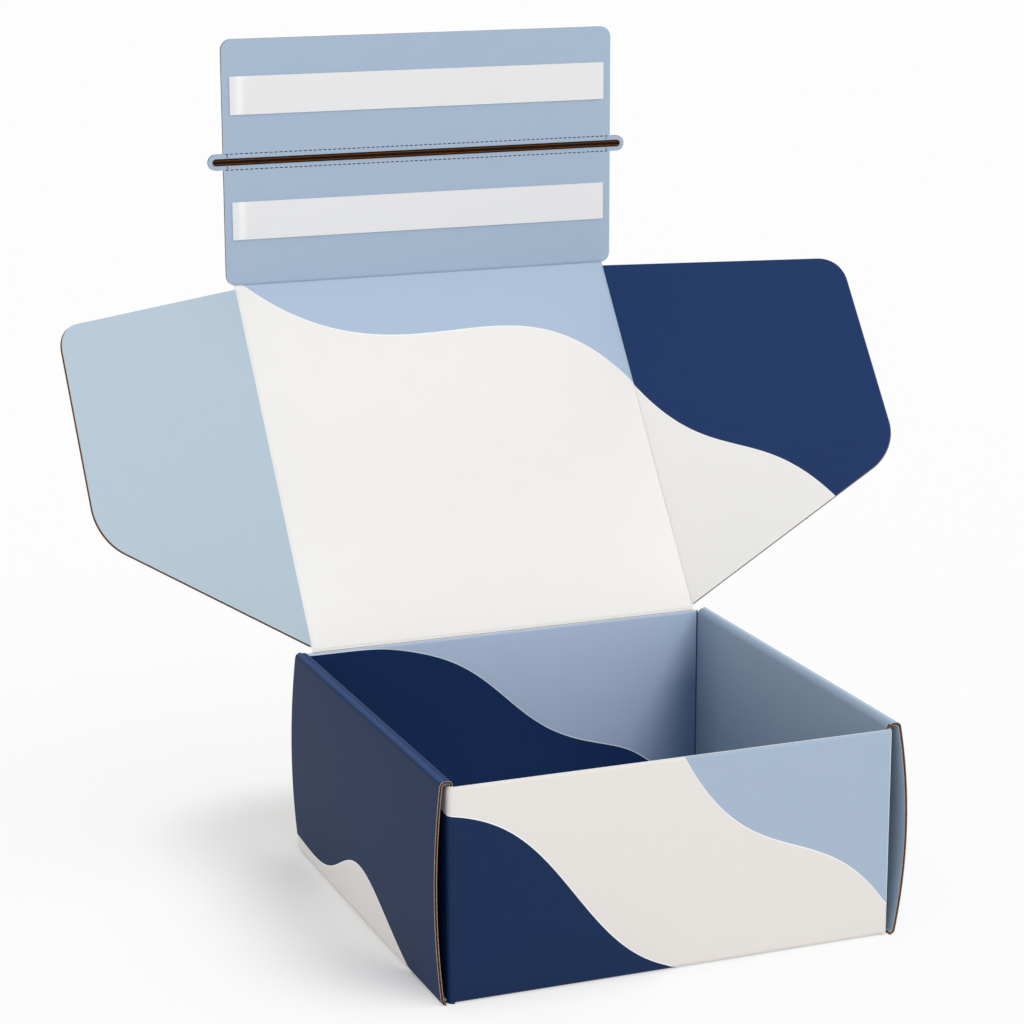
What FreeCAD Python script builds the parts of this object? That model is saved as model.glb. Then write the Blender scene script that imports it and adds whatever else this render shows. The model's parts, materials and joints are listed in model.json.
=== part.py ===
"""Corrugated mailer box with double roll-over side walls, drawn open as it stands.

One die-cut sheet of thin fluted board makes the whole box.  The row frame has its origin at the
middle of the base, on the floor, with +Z up, +X to the right and the front wall facing -Y.
The tray stays as one folded solid.  The lid, its two ears and its closing flap are panels of the
same sheet that turn about the axes of their creases, so each one is drawn flat about its own
crease and then placed at the angle at which the box stands open.
"""
import FreeCAD, Part
import os

import Sketcher

os.makedirs("parts", exist_ok=True)
doc = FreeCAD.newDocument("mailer_box")
sheet = doc.addObject("Spreadsheet::Sheet", "Sizes")

# Driving dimensions, in millimetres and degrees
DIMENSIONS = {
    "board": (1.5, "thickness of the fluted board"),
    "width": (230.0, "front wall over its two side folds"),
    "depth": (219.0, "front wall to back wall, outside"),
    "front_height": (107.7, "top edge of the front wall"),
    "roll_height": (109.8, "crown of the rolled side walls"),
    "back_height": (110.2, "crest of the lid's crease"),
    "fold_radius": (3.0, "outside radius of every square fold"),
    "fit_gap": (0.2, "play between panels that lie together"),
    "side_offset": (4.0, "side wall's outside beyond the front wall's edge"),
    "roll_width": (7.2, "rolled wall from outside to inside"),
    "lip_turn": (40.0, "turn of the roll's lip over the front wall"),
    "left_lean": (6.6, "outward lean of the left wall at its folds"),
    "right_lean": (10.9, "outward lean of the right wall at its folds"),
    "corner_flap": (58.0, "reach of a corner flap along the side wall"),
    "tab_length": (32.0, "length of a locking tab"),
    "tab_spacing": (104.0, "distance between the tabs of a side"),
    "lid_inset": (4.9, "front wall's edge to the lid's edge"),
    "lid_length": (216.9, "lid crease to flap crease"),
    "lid_lean": (37.1, "lid's lean back from upright"),
    "hinge_gap": (0.5, "clear arc between two panels at a crease"),
    "ear_reach": (133.0, "ear's crease to its far edge"),
    "ear_foot": (2.6, "ear's lowest point along its crease"),
    "ear_low": (48.7, "height of the ear's lower far corner"),
    "ear_high": (167.0, "height of the ear's upper far corner"),
    "ear_head": (2.4, "ear's top kept back from the flap crease"),
    "ear_low_radius": (24.0, "rounding of the lower far corner"),
    "ear_high_radius": (19.0, "rounding of the upper far corner"),
    "ear_foot_radius": (3.0, "relief at the foot of the crease"),
    "left_ear_turn": (28.2, "left ear's turn from the lid"),
    "right_ear_turn": (38.6, "right ear's turn from the lid"),
    "flap_length": (134.3, "closing flap from its crease to its edge"),
    "flap_inset": (0.9, "front wall's edge to the flap's edge"),
    "flap_radius": (6.0, "rounding of the flap's corners"),
    "flap_turn": (37.0, "flap's turn from the lid"),
    "tear_middle": (68.2, "flap crease to the tear band's middle"),
    "tear_height": (8.8, "width of the tear band"),
    "tear_tab": (8.6, "reach of a pull tab past the flap's edge"),
    "cut_length": (1.8, "length of one perforation cut"),
    "cut_width": (0.5, "width of one perforation cut"),
    "cut_pitch": (2.8, "one perforation cut to the next"),
    "cut_inset": (0.1, "perforation row inside the band's edge"),
    "nick_length": (1.4, "cut across the band where a pull tab starts"),
    "nick_inset": (2.25, "flap's edge to such a cut"),
    "tape_width": (3.8, "width of the tear tape"),
    "tape_height": (0.5, "thickness of the tear tape"),
    "rib_width": (0.7, "width of a rib on the tear tape"),
    "rib_height": (0.35, "height of a rib on the tear tape"),
    "rib_spacing": (1.9, "distance between the two ribs"),
    "strip_width": (20.8, "height of an adhesive strip"),
    "strip_inset": (4.3, "flap's edge to the strip's end"),
    "low_strip": (35.8, "flap crease to the lower strip's middle"),
    "high_strip": (104.0, "flap crease to the upper strip's middle"),
    "glue_inset": (1.0, "adhesive kept inside its liner's edge"),
    "glue_thickness": (0.2, "thickness of the adhesive"),
    "liner_thickness": (0.25, "thickness of the release liner"),
}
for line, (alias, (amount, note)) in enumerate(DIMENSIONS.items(), start=1):
    sheet.set(f"A{line}", note)
    sheet.set(f"B{line}", str(amount))
    sheet.setAlias(f"B{line}", alias)
doc.recompute()

# Lengths that several panels share, as expressions of the sheet
BOARD = "Sizes.board"
HALF_BOARD = "Sizes.board / 2"
FOLD = "Sizes.fold_radius"
INNER_FOLD = "(Sizes.fold_radius - Sizes.board)"
HALF_WIDTH = "Sizes.width / 2"
HALF_DEPTH = "Sizes.depth / 2"
SIDE_FACE = "(Sizes.width / 2 + Sizes.side_offset)"
FOLD_START = f"({SIDE_FACE} - {FOLD})"
ROLL_INSIDE = f"({SIDE_FACE} - Sizes.roll_width)"
INNER_FOOT = f"({BOARD} + Sizes.fit_gap)"
HINGE_Y = f"({HALF_DEPTH} - {HALF_BOARD})"
HINGE_Z = f"(Sizes.back_height - {HALF_BOARD})"
LID_HALF = f"({HALF_WIDTH} - Sizes.lid_inset)"
EAR_AXIS = f"({LID_HALF} - {HALF_BOARD})"
FLAP_HALF = f"({HALF_WIDTH} - Sizes.flap_inset)"
HOLLOW = f"({HALF_BOARD} + Sizes.hinge_gap)"
WALLS = (("left", -1, "Sizes.left_lean"), ("right", 1, "Sizes.right_lean"))


def number(expression):
    """Present value of an expression of the sheet."""
    return float(sheet.evalExpression(expression))


def new_body(label):
    """Body whose label names its file."""
    body = doc.addObject("PartDesign::Body", label)
    body.Label = label
    return body


def origin_plane(body, role):
    """The body's own origin plane with this role."""
    return next(item for item in body.Origin.OriginFeatures if item.Role == role)


def pin(sketch, kind, label, geometry, point, expression):
    """Tie one coordinate of a sketch point to an expression."""
    value = number(expression)
    index = sketch.addConstraint(Sketcher.Constraint(kind, -1, 1, geometry, point, value))
    sketch.renameConstraint(index, label)
    sketch.setExpression(f"Constraints.{label}", expression)


def arc_between(start, end, radius, left):
    """Short arc from start to end that turns to the left or to the right."""
    chord = end - start
    middle = (start + end) / 2
    drop = max(radius**2 - (chord.Length / 2) ** 2, 0.0) ** 0.5
    normal = FreeCAD.Vector(-chord.y, chord.x, 0).normalize()
    centre = middle + normal * (drop if left else -drop)
    bulge = (middle - centre if drop else -normal * (1 if left else -1)).normalize()
    return Part.Arc(start, centre + bulge * radius, end)


def add_loop(sketch, tag, corners):
    """Closed loop of corners (across, up) or (across, up, turn, radius).

    A corner with a turn, "left" or "right", starts an arc of that radius, and any other corner
    starts a straight edge.  Every corner's place and every radius follow the sheet.
    """
    first = sketch.GeometryCount
    count = len(corners)
    points = [FreeCAD.Vector(number(c[0]), number(c[1]), 0) for c in corners]
    starts = []
    for i, corner in enumerate(corners):
        start, end = points[i], points[(i + 1) % count]
        if len(corner) == 2:
            sketch.addGeometry(Part.LineSegment(start, end), False)
            starts.append(1)
            continue
        arc = arc_between(start, end, number(corner[3]), corner[2] == "left")
        index = sketch.addGeometry(arc, False)
        near = sketch.getPoint(index, 1).distanceToPoint(start)
        far = sketch.getPoint(index, 2).distanceToPoint(start)
        starts.append(1 if near < far else 2)
    for i in range(count):
        after = (i + 1) % count
        ends = (first + i, 3 - starts[i], first + after, starts[after])
        sketch.addConstraint(Sketcher.Constraint("Coincident", *ends))
    for i, corner in enumerate(corners):
        pin(sketch, "DistanceX", f"{tag}_x{i}", first + i, starts[i], corner[0])
        pin(sketch, "DistanceY", f"{tag}_y{i}", first + i, starts[i], corner[1])
        if len(corner) > 2:
            radius = number(corner[3])
            index = sketch.addConstraint(Sketcher.Constraint("Radius", first + i, radius))
            sketch.renameConstraint(index, f"{tag}_r{i}")
            sketch.setExpression(f"Constraints.{tag}_r{i}", corner[3])


def new_sketch(body, name, role, loops, lift=None):
    """Sketch of closed loops on an origin plane, lifted off it where the lift is given."""
    sketch = body.newObject("Sketcher::SketchObject", name)
    sketch.AttachmentSupport = (origin_plane(body, role), [""])
    sketch.MapMode = "FlatFace"
    if lift:
        sketch.setExpression("AttachmentOffset.Base.z", lift)
    for index, corners in enumerate(loops):
        add_loop(sketch, f"loop{index}", corners)
    return sketch


def circle_sketch(body, name, role, across, up, radius):
    """Sketch of one circle whose centre and radius follow the sheet."""
    sketch = body.newObject("Sketcher::SketchObject", name)
    sketch.AttachmentSupport = (origin_plane(body, role), [""])
    sketch.MapMode = "FlatFace"
    centre = FreeCAD.Vector(number(across), number(up), 0)
    circle = Part.Circle(centre, FreeCAD.Vector(0, 0, 1), number(radius))
    sketch.addGeometry(circle, False)
    pin(sketch, "DistanceX", "centre_x", 0, 3, across)
    pin(sketch, "DistanceY", "centre_y", 0, 3, up)
    index = sketch.addConstraint(Sketcher.Constraint("Radius", 0, number(radius)))
    sketch.renameConstraint(index, "radius")
    sketch.setExpression("Constraints.radius", radius)
    return sketch


def extrude(body, kind, sketch, name, length, both_ways):
    """Pad or Pocket of a sketch by a length, both ways about it or one way along its normal."""
    feature = body.newObject(f"PartDesign::{kind}", name)
    feature.Profile = sketch
    feature.SideType = "Symmetric" if both_ways else "One side"
    feature.setExpression("Length", length)
    sketch.Visibility = False
    return feature


def box_loop(low_x, low_y, high_x, high_y):
    """Corners of an upright rectangle."""
    return [(low_x, low_y), (high_x, low_y), (high_x, high_y), (low_x, high_y)]


def slot_loop(low_x, high_x, middle, width):
    """Rectangle with two round ends, its straight part from low_x to high_x."""
    low, high, radius = f"{middle} - {width} / 2", f"{middle} + {width} / 2", f"{width} / 2"
    right_tip, left_tip = f"{high_x} + {radius}", f"{low_x} - {radius}"
    return [
        (low_x, low),
        (high_x, low, "left", radius),
        (right_tip, middle, "left", radius),
        (high_x, high),
        (low_x, high, "left", radius),
        (left_tip, middle, "left", radius),
    ]


def mirrored(corners, side):
    """Loop for the right side as it is, or turned over to the left."""
    if side > 0:
        return corners
    swap = {"left": "right", "right": "left"}
    flipped = []
    for corner in corners:
        turn = (swap[corner[2]], corner[3]) if len(corner) > 2 else ()
        flipped.append((f"-({corner[0]})", corner[1], *turn))
    return flipped


def outer_wall_loop(lean):
    """Section of a side wall: base fold, bowed outer panel and the outer half of the roll.

    The outer panel leans out by lean at its lower fold and in by lean at the roll, so it is one
    arc between the two folds, and each fold turns only the rest of its quarter.
    """
    top = "Sizes.roll_height"
    bow = f"({top} - 2 * {FOLD} * (1 - sin({lean}))) / (2 * sin({lean}))"
    outside = f"{FOLD_START} + {FOLD} * cos({lean})"
    inside = f"{FOLD_START} + {INNER_FOLD} * cos({lean})"
    outer_rise = f"{FOLD} * (1 - sin({lean}))"
    inner_rise = f"({FOLD} - {INNER_FOLD} * sin({lean}))"
    return [
        (FOLD_START, "0", "left", FOLD),
        (outside, outer_rise, "left", bow),
        (outside, f"{top} - {outer_rise}", "left", FOLD),
        (FOLD_START, top),
        (FOLD_START, f"{top} - {BOARD}", "right", INNER_FOLD),
        (inside, f"{top} - {inner_rise}", "right", f"{bow} - {BOARD}"),
        (inside, inner_rise, "right", INNER_FOLD),
        (FOLD_START, BOARD),
    ]


def inner_wall_loop():
    """Section of the inner half of the roll and the inner panel that stands on the base."""
    top = "Sizes.roll_height"
    crown_end = f"{ROLL_INSIDE} + {FOLD}"
    return [
        (FOLD_START, top),
        (crown_end, top, "left", FOLD),
        (ROLL_INSIDE, f"{top} - {FOLD}"),
        (ROLL_INSIDE, INNER_FOOT),
        (f"{ROLL_INSIDE} + {BOARD}", INNER_FOOT),
        (f"{ROLL_INSIDE} + {BOARD}", f"{top} - {FOLD}", "right", INNER_FOLD),
        (crown_end, f"{top} - {BOARD}"),
        (FOLD_START, f"{top} - {BOARD}"),
    ]


def lip_loop():
    """Section of the roll's crown where it runs on over the front wall, cut off after its turn."""
    top = "Sizes.roll_height"
    crown_end = f"{ROLL_INSIDE} + {FOLD}"
    ends = []
    for radius in (FOLD, INNER_FOLD):
        across = f"{crown_end} - {radius} * sin(Sizes.lip_turn)"
        ends.append((across, f"{top} - {FOLD} + {radius} * cos(Sizes.lip_turn)"))
    return [
        (FOLD_START, top),
        (crown_end, top, "left", FOLD),
        ends[0],
        (*ends[1], "right", INNER_FOLD),
        (crown_end, f"{top} - {BOARD}"),
        (FOLD_START, f"{top} - {BOARD}"),
    ]


def front_wall_loop():
    """Section of the front wall with its base fold."""
    return [
        (f"-({HALF_DEPTH} - {FOLD})", "0", "right", FOLD),
        (f"-({HALF_DEPTH})", FOLD),
        (f"-({HALF_DEPTH})", "Sizes.front_height"),
        (f"-({HALF_DEPTH} - {BOARD})", "Sizes.front_height"),
        (f"-({HALF_DEPTH} - {BOARD})", FOLD, "left", INNER_FOLD),
        (f"-({HALF_DEPTH} - {FOLD})", BOARD),
    ]


def back_wall_loop():
    """Section of the back wall, its top rounded about the axis of the lid's crease."""
    return [
        (f"{HALF_DEPTH} - {FOLD}", "0", "left", FOLD),
        (HALF_DEPTH, FOLD),
        (HALF_DEPTH, HINGE_Z, "left", HALF_BOARD),
        (HINGE_Y, f"{HINGE_Z} + {HALF_BOARD}", "left", HALF_BOARD),
        (f"{HALF_DEPTH} - {BOARD}", HINGE_Z),
        (f"{HALF_DEPTH} - {BOARD}", FOLD, "right", INNER_FOLD),
        (f"{HALF_DEPTH} - {FOLD}", BOARD),
    ]


def corner_flap_loop():
    """Plan of the right front corner flap with its fold, for the other corners to be turned."""
    edge = HALF_WIDTH
    front = f"-({HALF_DEPTH})"
    return [
        (f"{edge} - {FOLD}", front, "left", FOLD),
        (edge, f"{front} + {FOLD}"),
        (edge, f"{front} + Sizes.corner_flap"),
        (f"{edge} - {BOARD}", f"{front} + Sizes.corner_flap"),
        (f"{edge} - {BOARD}", f"{front} + {FOLD}", "right", INNER_FOLD),
        (f"{edge} - {FOLD}", f"{front} + {BOARD}"),
    ]


def to_back(corners):
    """Plan loop of a front corner turned over to the back of the box."""
    swap = {"left": "right", "right": "left"}
    flipped = []
    for corner in corners:
        turn = (swap[corner[2]], corner[3]) if len(corner) > 2 else ()
        flipped.append((corner[0], f"-({corner[1]})", *turn))
    return flipped


def tab_loops(side, play):
    """Plan of the two locking tabs under an inner panel, widened by play for their slots."""
    loops = []
    for end in (-1, 1):
        middle = f"({end} * Sizes.tab_spacing / 2)"
        half = f"(Sizes.tab_length / 2 + {play})"
        near = f"{ROLL_INSIDE} - {play}"
        far = f"{ROLL_INSIDE} + {BOARD} + {play}"
        loop = box_loop(near, f"{middle} - {half}", far, f"{middle} + {half}")
        loops.append(mirrored(loop, side))
    return loops


def make_tray():
    """Base, four walls, corner flaps and the tabs in their slots: one folded sheet."""
    body = new_body("tray")
    base_y = f"({HALF_DEPTH} - {FOLD})"
    base = box_loop(f"-{FOLD_START}", f"-{base_y}", FOLD_START, base_y)
    extrude(body, "Pad", new_sketch(body, "base_plan", "XY_Plane", [base]), "base", BOARD, False)
    inner_length = f"Sizes.depth - 2 * ({BOARD} + Sizes.fit_gap)"
    for name, side, lean in WALLS:
        outer = mirrored(outer_wall_loop(lean), side)
        sketch = new_sketch(body, f"{name}_outer_section", "XZ_Plane", [outer])
        extrude(body, "Pad", sketch, f"{name}_outer_panel", "Sizes.depth", True)
        inner = mirrored(inner_wall_loop(), side)
        sketch = new_sketch(body, f"{name}_inner_section", "XZ_Plane", [inner])
        extrude(body, "Pad", sketch, f"{name}_inner_panel", inner_length, True)
        lip = mirrored(lip_loop(), side)
        lip_start = f"{HALF_DEPTH} - 2 * {FOLD}"
        sketch = new_sketch(body, f"{name}_lip_section", "XZ_Plane", [lip], lip_start)
        extrude(body, "Pad", sketch, f"{name}_lip", f"2 * {FOLD}", False)
    wall_length = f"Sizes.width - 2 * {FOLD}"
    for name, loop in (("front", front_wall_loop()), ("back", back_wall_loop())):
        sketch = new_sketch(body, f"{name}_section", "YZ_Plane", [loop])
        extrude(body, "Pad", sketch, f"{name}_wall", wall_length, True)
    flap_rise = f"Sizes.roll_height - {FOLD} - Sizes.fit_gap - {INNER_FOOT}"
    for name, turned in (("front", False), ("back", True)):
        for wall, side, _ in WALLS:
            loop = mirrored(corner_flap_loop(), side)
            loop = to_back(loop) if turned else loop
            flap_plan = f"{name}_{wall}_flap_plan"
            sketch = new_sketch(body, flap_plan, "XY_Plane", [loop], INNER_FOOT)
            extrude(body, "Pad", sketch, f"{name}_{wall}_corner_flap", flap_rise, False)
    for name, side, _ in WALLS:
        slots = tab_loops(side, "Sizes.fit_gap")
        sketch = new_sketch(body, f"{name}_slot_plan", "XY_Plane", slots)
        extrude(body, "Pocket", sketch, f"{name}_slots", f"2 * {BOARD}", True)
        sketch = new_sketch(body, f"{name}_tab_plan", "XY_Plane", tab_loops(side, "0"), "Sizes.fit_gap")
        extrude(body, "Pad", sketch, f"{name}_tabs", f"{BOARD} + Sizes.fit_gap", False)
    return body


def make_lid():
    """Lid panel, flat about its crease, with round edges for the ears and the closing flap.

    The crease is the body's X axis, the lid runs along Y and its inner face looks along +Z.
    """
    body = new_body("lid_panel")
    section = slot_loop(f"-{EAR_AXIS}", EAR_AXIS, "0", BOARD)
    sketch = new_sketch(body, "lid_section", "XZ_Plane", [section])
    pad = extrude(body, "Pad", sketch, "lid_sheet", "Sizes.lid_length", False)
    pad.Reversed = True
    crest = circle_sketch(body, "crest_section", "YZ_Plane", "Sizes.lid_length", "0", HALF_BOARD)
    extrude(body, "Pad", crest, "flap_crease_edge", f"2 * {EAR_AXIS}", True)
    hollow = circle_sketch(body, "hollow_section", "YZ_Plane", "0", "0", HOLLOW)
    extrude(body, "Pocket", hollow, "lid_crease_hollow", "Sizes.width", True)
    lean = "rotation(vector(1; 0; 0); 90 - Sizes.lid_lean)"
    body.setExpression("Placement", f"placement(vector(0; {HINGE_Y}; {HINGE_Z}); {lean})")
    return body


def round_corners(body, name, places):
    """Round the upright edges at these places (across, along), each by its own radius."""
    for index, (across, along, radius) in enumerate(places):
        doc.recompute()
        sharp = body.Tip
        target = FreeCAD.Vector(number(across), number(along), 0)
        gaps = [(edge.CenterOfMass - target).Length for edge in sharp.Shape.Edges]
        fillet = body.newObject("PartDesign::Fillet", f"{name}_{index}")
        fillet.Base = (sharp, [f"Edge{gaps.index(min(gaps)) + 1}"])
        fillet.setExpression("Radius", radius)


def make_ear(name, side, turn):
    """Side ear of the lid: a tapered panel about its own crease, which is the body's Y axis."""
    body = new_body(f"{name}_ear")
    head = "(Sizes.lid_length - Sizes.ear_head)"
    plan = [
        ("0", "Sizes.ear_foot"),
        ("Sizes.ear_reach", "Sizes.ear_low"),
        ("Sizes.ear_reach", "Sizes.ear_high"),
        ("0", head),
    ]
    sketch = new_sketch(body, f"{name}_ear_plan", "XY_Plane", [mirrored(plan, side)])
    extrude(body, "Pad", sketch, f"{name}_ear_sheet", BOARD, True)
    round_corners(body, f"{name}_ear_corner", [
        (f"{side} * Sizes.ear_reach", "Sizes.ear_low", "Sizes.ear_low_radius"),
        (f"{side} * Sizes.ear_reach", "Sizes.ear_high", "Sizes.ear_high_radius"),
        ("0", "Sizes.ear_foot", "Sizes.ear_foot_radius"),
    ])
    hollow = circle_sketch(body, f"{name}_ear_hollow", "XZ_Plane", "0", "0", HOLLOW)
    extrude(body, "Pocket", hollow, f"{name}_crease_hollow", "3 * Sizes.lid_length", True)
    axis = f"vector({side} * {EAR_AXIS}; 0; 0)"
    swing = f"rotation(vector(0; {-side}; 0); {turn})"
    body.setExpression("Placement", f"lid_panel.Placement * placement({axis}; {swing})")
    return body


def make_flap():
    """Closing flap about its crease, the body's X axis, with its perforated tear band."""
    body = new_body("closing_flap")
    plan = box_loop(f"-{FLAP_HALF}", "0", FLAP_HALF, "Sizes.flap_length")
    sketch = new_sketch(body, "flap_plan", "XY_Plane", [plan])
    extrude(body, "Pad", sketch, "flap_sheet", BOARD, True)
    round_corners(body, "flap_corner", [
        (f"{side} * {FLAP_HALF}", along, "Sizes.flap_radius")
        for side in (-1, 1) for along in ("0", "Sizes.flap_length")
    ])
    reach = f"({FLAP_HALF} + Sizes.tear_tab - Sizes.tear_height / 2)"
    band = slot_loop(f"-{reach}", reach, "Sizes.tear_middle", "Sizes.tear_height")
    sketch = new_sketch(body, "tear_band_plan", "XY_Plane", [band])
    extrude(body, "Pad", sketch, "tear_band", BOARD, True)
    rows = "(Sizes.tear_height / 2 - Sizes.cut_inset)"
    first = f"-{FLAP_HALF} + Sizes.cut_pitch - Sizes.cut_length"
    cuts = []
    nicks = []
    for row_side in (-1, 1):
        middle = f"(Sizes.tear_middle + {row_side} * {rows})"
        low, high = f"{middle} - Sizes.cut_width / 2", f"{middle} + Sizes.cut_width / 2"
        cuts.append(box_loop(first, low, f"{first} + Sizes.cut_length", high))
        centre = f"(Sizes.tear_middle + {row_side} * (Sizes.tape_width / 2 + {rows}) / 2)"
        low, high = f"{centre} - Sizes.nick_length / 2", f"{centre} + Sizes.nick_length / 2"
        near, far = (f"{FLAP_HALF} - Sizes.nick_inset {sign} Sizes.cut_width / 2" for sign in "-+")
        nicks += [mirrored(box_loop(near, low, far, high), side) for side in (-1, 1)]
    sketch = new_sketch(body, "nick_plan", "XY_Plane", nicks)
    extrude(body, "Pocket", sketch, "pull_tab_nicks", f"2 * {BOARD}", True)
    sketch = new_sketch(body, "perforation_plan", "XY_Plane", cuts)
    cut = extrude(body, "Pocket", sketch, "perforation", f"2 * {BOARD}", True)
    row = body.newObject("PartDesign::LinearPattern", "perforation_rows")
    row.Originals = [cut]
    row.Direction = (sketch, ["H_Axis"])
    row.Mode = "Spacing"
    row.setExpression("Offset", "Sizes.cut_pitch")
    row.setExpression("Occurrences", f"floor(2 * {FLAP_HALF} / Sizes.cut_pitch)")
    body.Tip = row
    hollow = circle_sketch(body, "flap_hollow", "YZ_Plane", "0", "0", HOLLOW)
    extrude(body, "Pocket", hollow, "flap_crease_hollow", "2 * Sizes.width", True)
    crease = "vector(0; Sizes.lid_length; 0)"
    swing = "rotation(vector(1; 0; 0); Sizes.flap_turn)"
    body.setExpression("Placement", f"lid_panel.Placement * placement({crease}; {swing})")
    return body


def flap_layer(label, half_length, middle, width, lift, thickness):
    """Flat strip on the inner face of the flap, lift above the board's face."""
    strip = doc.addObject("Part::Box", label)
    strip.Label = label
    strip.setExpression("Length", f"2 * ({half_length})")
    strip.setExpression("Width", width)
    strip.setExpression("Height", thickness)
    corner = f"vector(-({half_length}); {middle} - ({width}) / 2; {HALF_BOARD} + {lift})"
    place = f"closing_flap.Placement * placement({corner}; rotation(vector(0; 0; 1); 0))"
    strip.setExpression("Placement", place)
    return strip


def make_strips():
    """Two bands of adhesive on the flap, each under its own wider release liner."""
    strips = []
    reach = f"{FLAP_HALF} - Sizes.strip_inset"
    for name in ("low", "high"):
        middle = f"Sizes.{name}_strip"
        glue_reach = f"{reach} - Sizes.glue_inset"
        glue_width = "Sizes.strip_width - 2 * Sizes.glue_inset"
        strips.append(flap_layer(f"{name}_adhesive", glue_reach, middle, glue_width, "0",
                                 "Sizes.glue_thickness"))
        strips.append(flap_layer(f"{name}_release_liner", reach, middle, "Sizes.strip_width",
                                 "Sizes.glue_thickness", "Sizes.liner_thickness"))
    return strips


def make_tear_tape():
    """Ribbed tape along the middle of the tear band, its round ends in the pull tabs."""
    body = new_body("tear_tape")
    middle = "Sizes.tear_middle"
    tip = f"({FLAP_HALF} + Sizes.tear_tab - (Sizes.tear_height - Sizes.tape_width) / 2)"
    reach = f"({tip} - Sizes.tape_width / 2)"
    plan = slot_loop(f"-{reach}", reach, middle, "Sizes.tape_width")
    sketch = new_sketch(body, "tape_plan", "XY_Plane", [plan], HALF_BOARD)
    extrude(body, "Pad", sketch, "tape", "Sizes.tape_height", False)
    ribs = [
        slot_loop(f"-{reach}", reach, f"({middle} + {side} * Sizes.rib_spacing / 2)",
                  "Sizes.rib_width")
        for side in (-1, 1)
    ]
    lift = f"{HALF_BOARD} + Sizes.tape_height"
    sketch = new_sketch(body, "rib_plan", "XY_Plane", ribs, lift)
    extrude(body, "Pad", sketch, "ribs", "Sizes.rib_height", False)
    body.setExpression("Placement", "closing_flap.Placement")
    return body


pieces = [make_tray(), make_lid()]
pieces += [make_ear("left", -1, "Sizes.left_ear_turn")]
pieces += [make_ear("right", 1, "Sizes.right_ear_turn")]
pieces += [make_flap()]
pieces += make_strips()
pieces += [make_tear_tape()]
doc.recompute()

for item in doc.Objects:
    faults = {"Invalid", "Error"} & set(item.State)
    if faults:
        raise RuntimeError(f"{item.Label} failed: {item.State}")
for piece in pieces:
    if piece.Shape.isNull() or not piece.Shape.isValid():
        raise RuntimeError(f"{piece.Label} has no valid shape")
    if len(piece.Shape.Solids) != 1:
        raise RuntimeError(f"{piece.Label} is not one solid")
    piece.Shape.exportStep(f"parts/{piece.Label}.step")
    print(piece.Label, round(piece.Shape.Volume, 1), piece.Shape.BoundBox)
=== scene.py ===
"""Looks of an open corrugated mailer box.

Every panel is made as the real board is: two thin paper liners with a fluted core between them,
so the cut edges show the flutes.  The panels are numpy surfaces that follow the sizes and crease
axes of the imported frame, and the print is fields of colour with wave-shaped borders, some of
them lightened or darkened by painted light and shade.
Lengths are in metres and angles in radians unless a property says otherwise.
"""
import json

import bpy
import bmesh
import numpy as np
from mathutils import Matrix, Vector


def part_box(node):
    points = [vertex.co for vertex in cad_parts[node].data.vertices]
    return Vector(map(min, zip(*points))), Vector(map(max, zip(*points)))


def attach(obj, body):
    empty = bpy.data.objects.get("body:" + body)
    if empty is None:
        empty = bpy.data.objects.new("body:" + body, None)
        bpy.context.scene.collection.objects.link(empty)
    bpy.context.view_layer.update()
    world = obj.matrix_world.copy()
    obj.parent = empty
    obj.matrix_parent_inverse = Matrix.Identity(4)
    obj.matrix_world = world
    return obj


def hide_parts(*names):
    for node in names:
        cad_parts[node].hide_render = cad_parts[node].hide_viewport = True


bl_info = {
    "name": "Mailer Box Dressing",
    "version": (1, 0, 0),
    "blender": (4, 5, 0),
    "location": "View3D > Sidebar > Mailer Box",
    "description": "Corrugated board, print, strips and stage of an open mailer box",
    "category": "Object",
}

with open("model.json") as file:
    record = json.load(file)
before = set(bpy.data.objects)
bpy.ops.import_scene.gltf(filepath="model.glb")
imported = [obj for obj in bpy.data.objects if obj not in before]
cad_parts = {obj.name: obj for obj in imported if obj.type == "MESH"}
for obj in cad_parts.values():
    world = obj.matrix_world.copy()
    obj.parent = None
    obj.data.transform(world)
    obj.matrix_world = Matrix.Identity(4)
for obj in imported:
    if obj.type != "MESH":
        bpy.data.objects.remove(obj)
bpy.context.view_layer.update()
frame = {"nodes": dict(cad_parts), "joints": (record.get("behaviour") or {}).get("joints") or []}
JOINTS = {joint["name"]: joint for joint in frame["joints"]}
MM = 0.001

# Material slots of a board, and the grid steps in one flute.
UPPER, LOWER, EDGE, CORE = range(4)
WAVE_STEPS = 10

# Width of a cut that can't be seen, the length that counts as none, and the angle of an edge.
HAIR = 0.01 * MM
SLIVER = 1e-7
SHARP = np.radians(35)

# Printed paper: change of tint, depth of the weave and of the flutes' ripple, reach at a crease.
PAPER_TINT = 0.02
WEAVE_DEPTH = 0.016 * MM
FLUTE_RIPPLE = 0.0063 * MM
PAPER_REACH = 1.0 * MM

# Middle of the tear tape to each of its ribs.
RIB_OFFSET = 0.95 * MM


def low(node, axis):
    """Lowest coordinate of a node of the frame along an axis, 0 to 2."""
    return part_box(node)[0][axis]


def high(node, axis):
    """Highest coordinate of a node of the frame along an axis, 0 to 2."""
    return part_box(node)[1][axis]


def number_of(name, description, default, subtype="NONE"):
    """Property that holds a plain number."""
    return bpy.props.FloatProperty(name=name, description=description, default=default,
                                   subtype=subtype)


def length_of(name, description, millimetres):
    """Property that holds a length, its default given in millimetres."""
    return bpy.props.FloatProperty(name=name, description=description,
                                   default=millimetres * MM, unit="LENGTH")


def turn_of(name, description, degrees):
    """Property that holds an angle, its default given in degrees."""
    return bpy.props.FloatProperty(name=name, description=description,
                                   default=np.radians(degrees), subtype="ANGLE")


def vector_of(name, description, default, subtype):
    """Property that holds a place, a direction or a colour."""
    return bpy.props.FloatVectorProperty(name=name, description=description, size=3,
                                         default=default, subtype=subtype)


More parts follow.
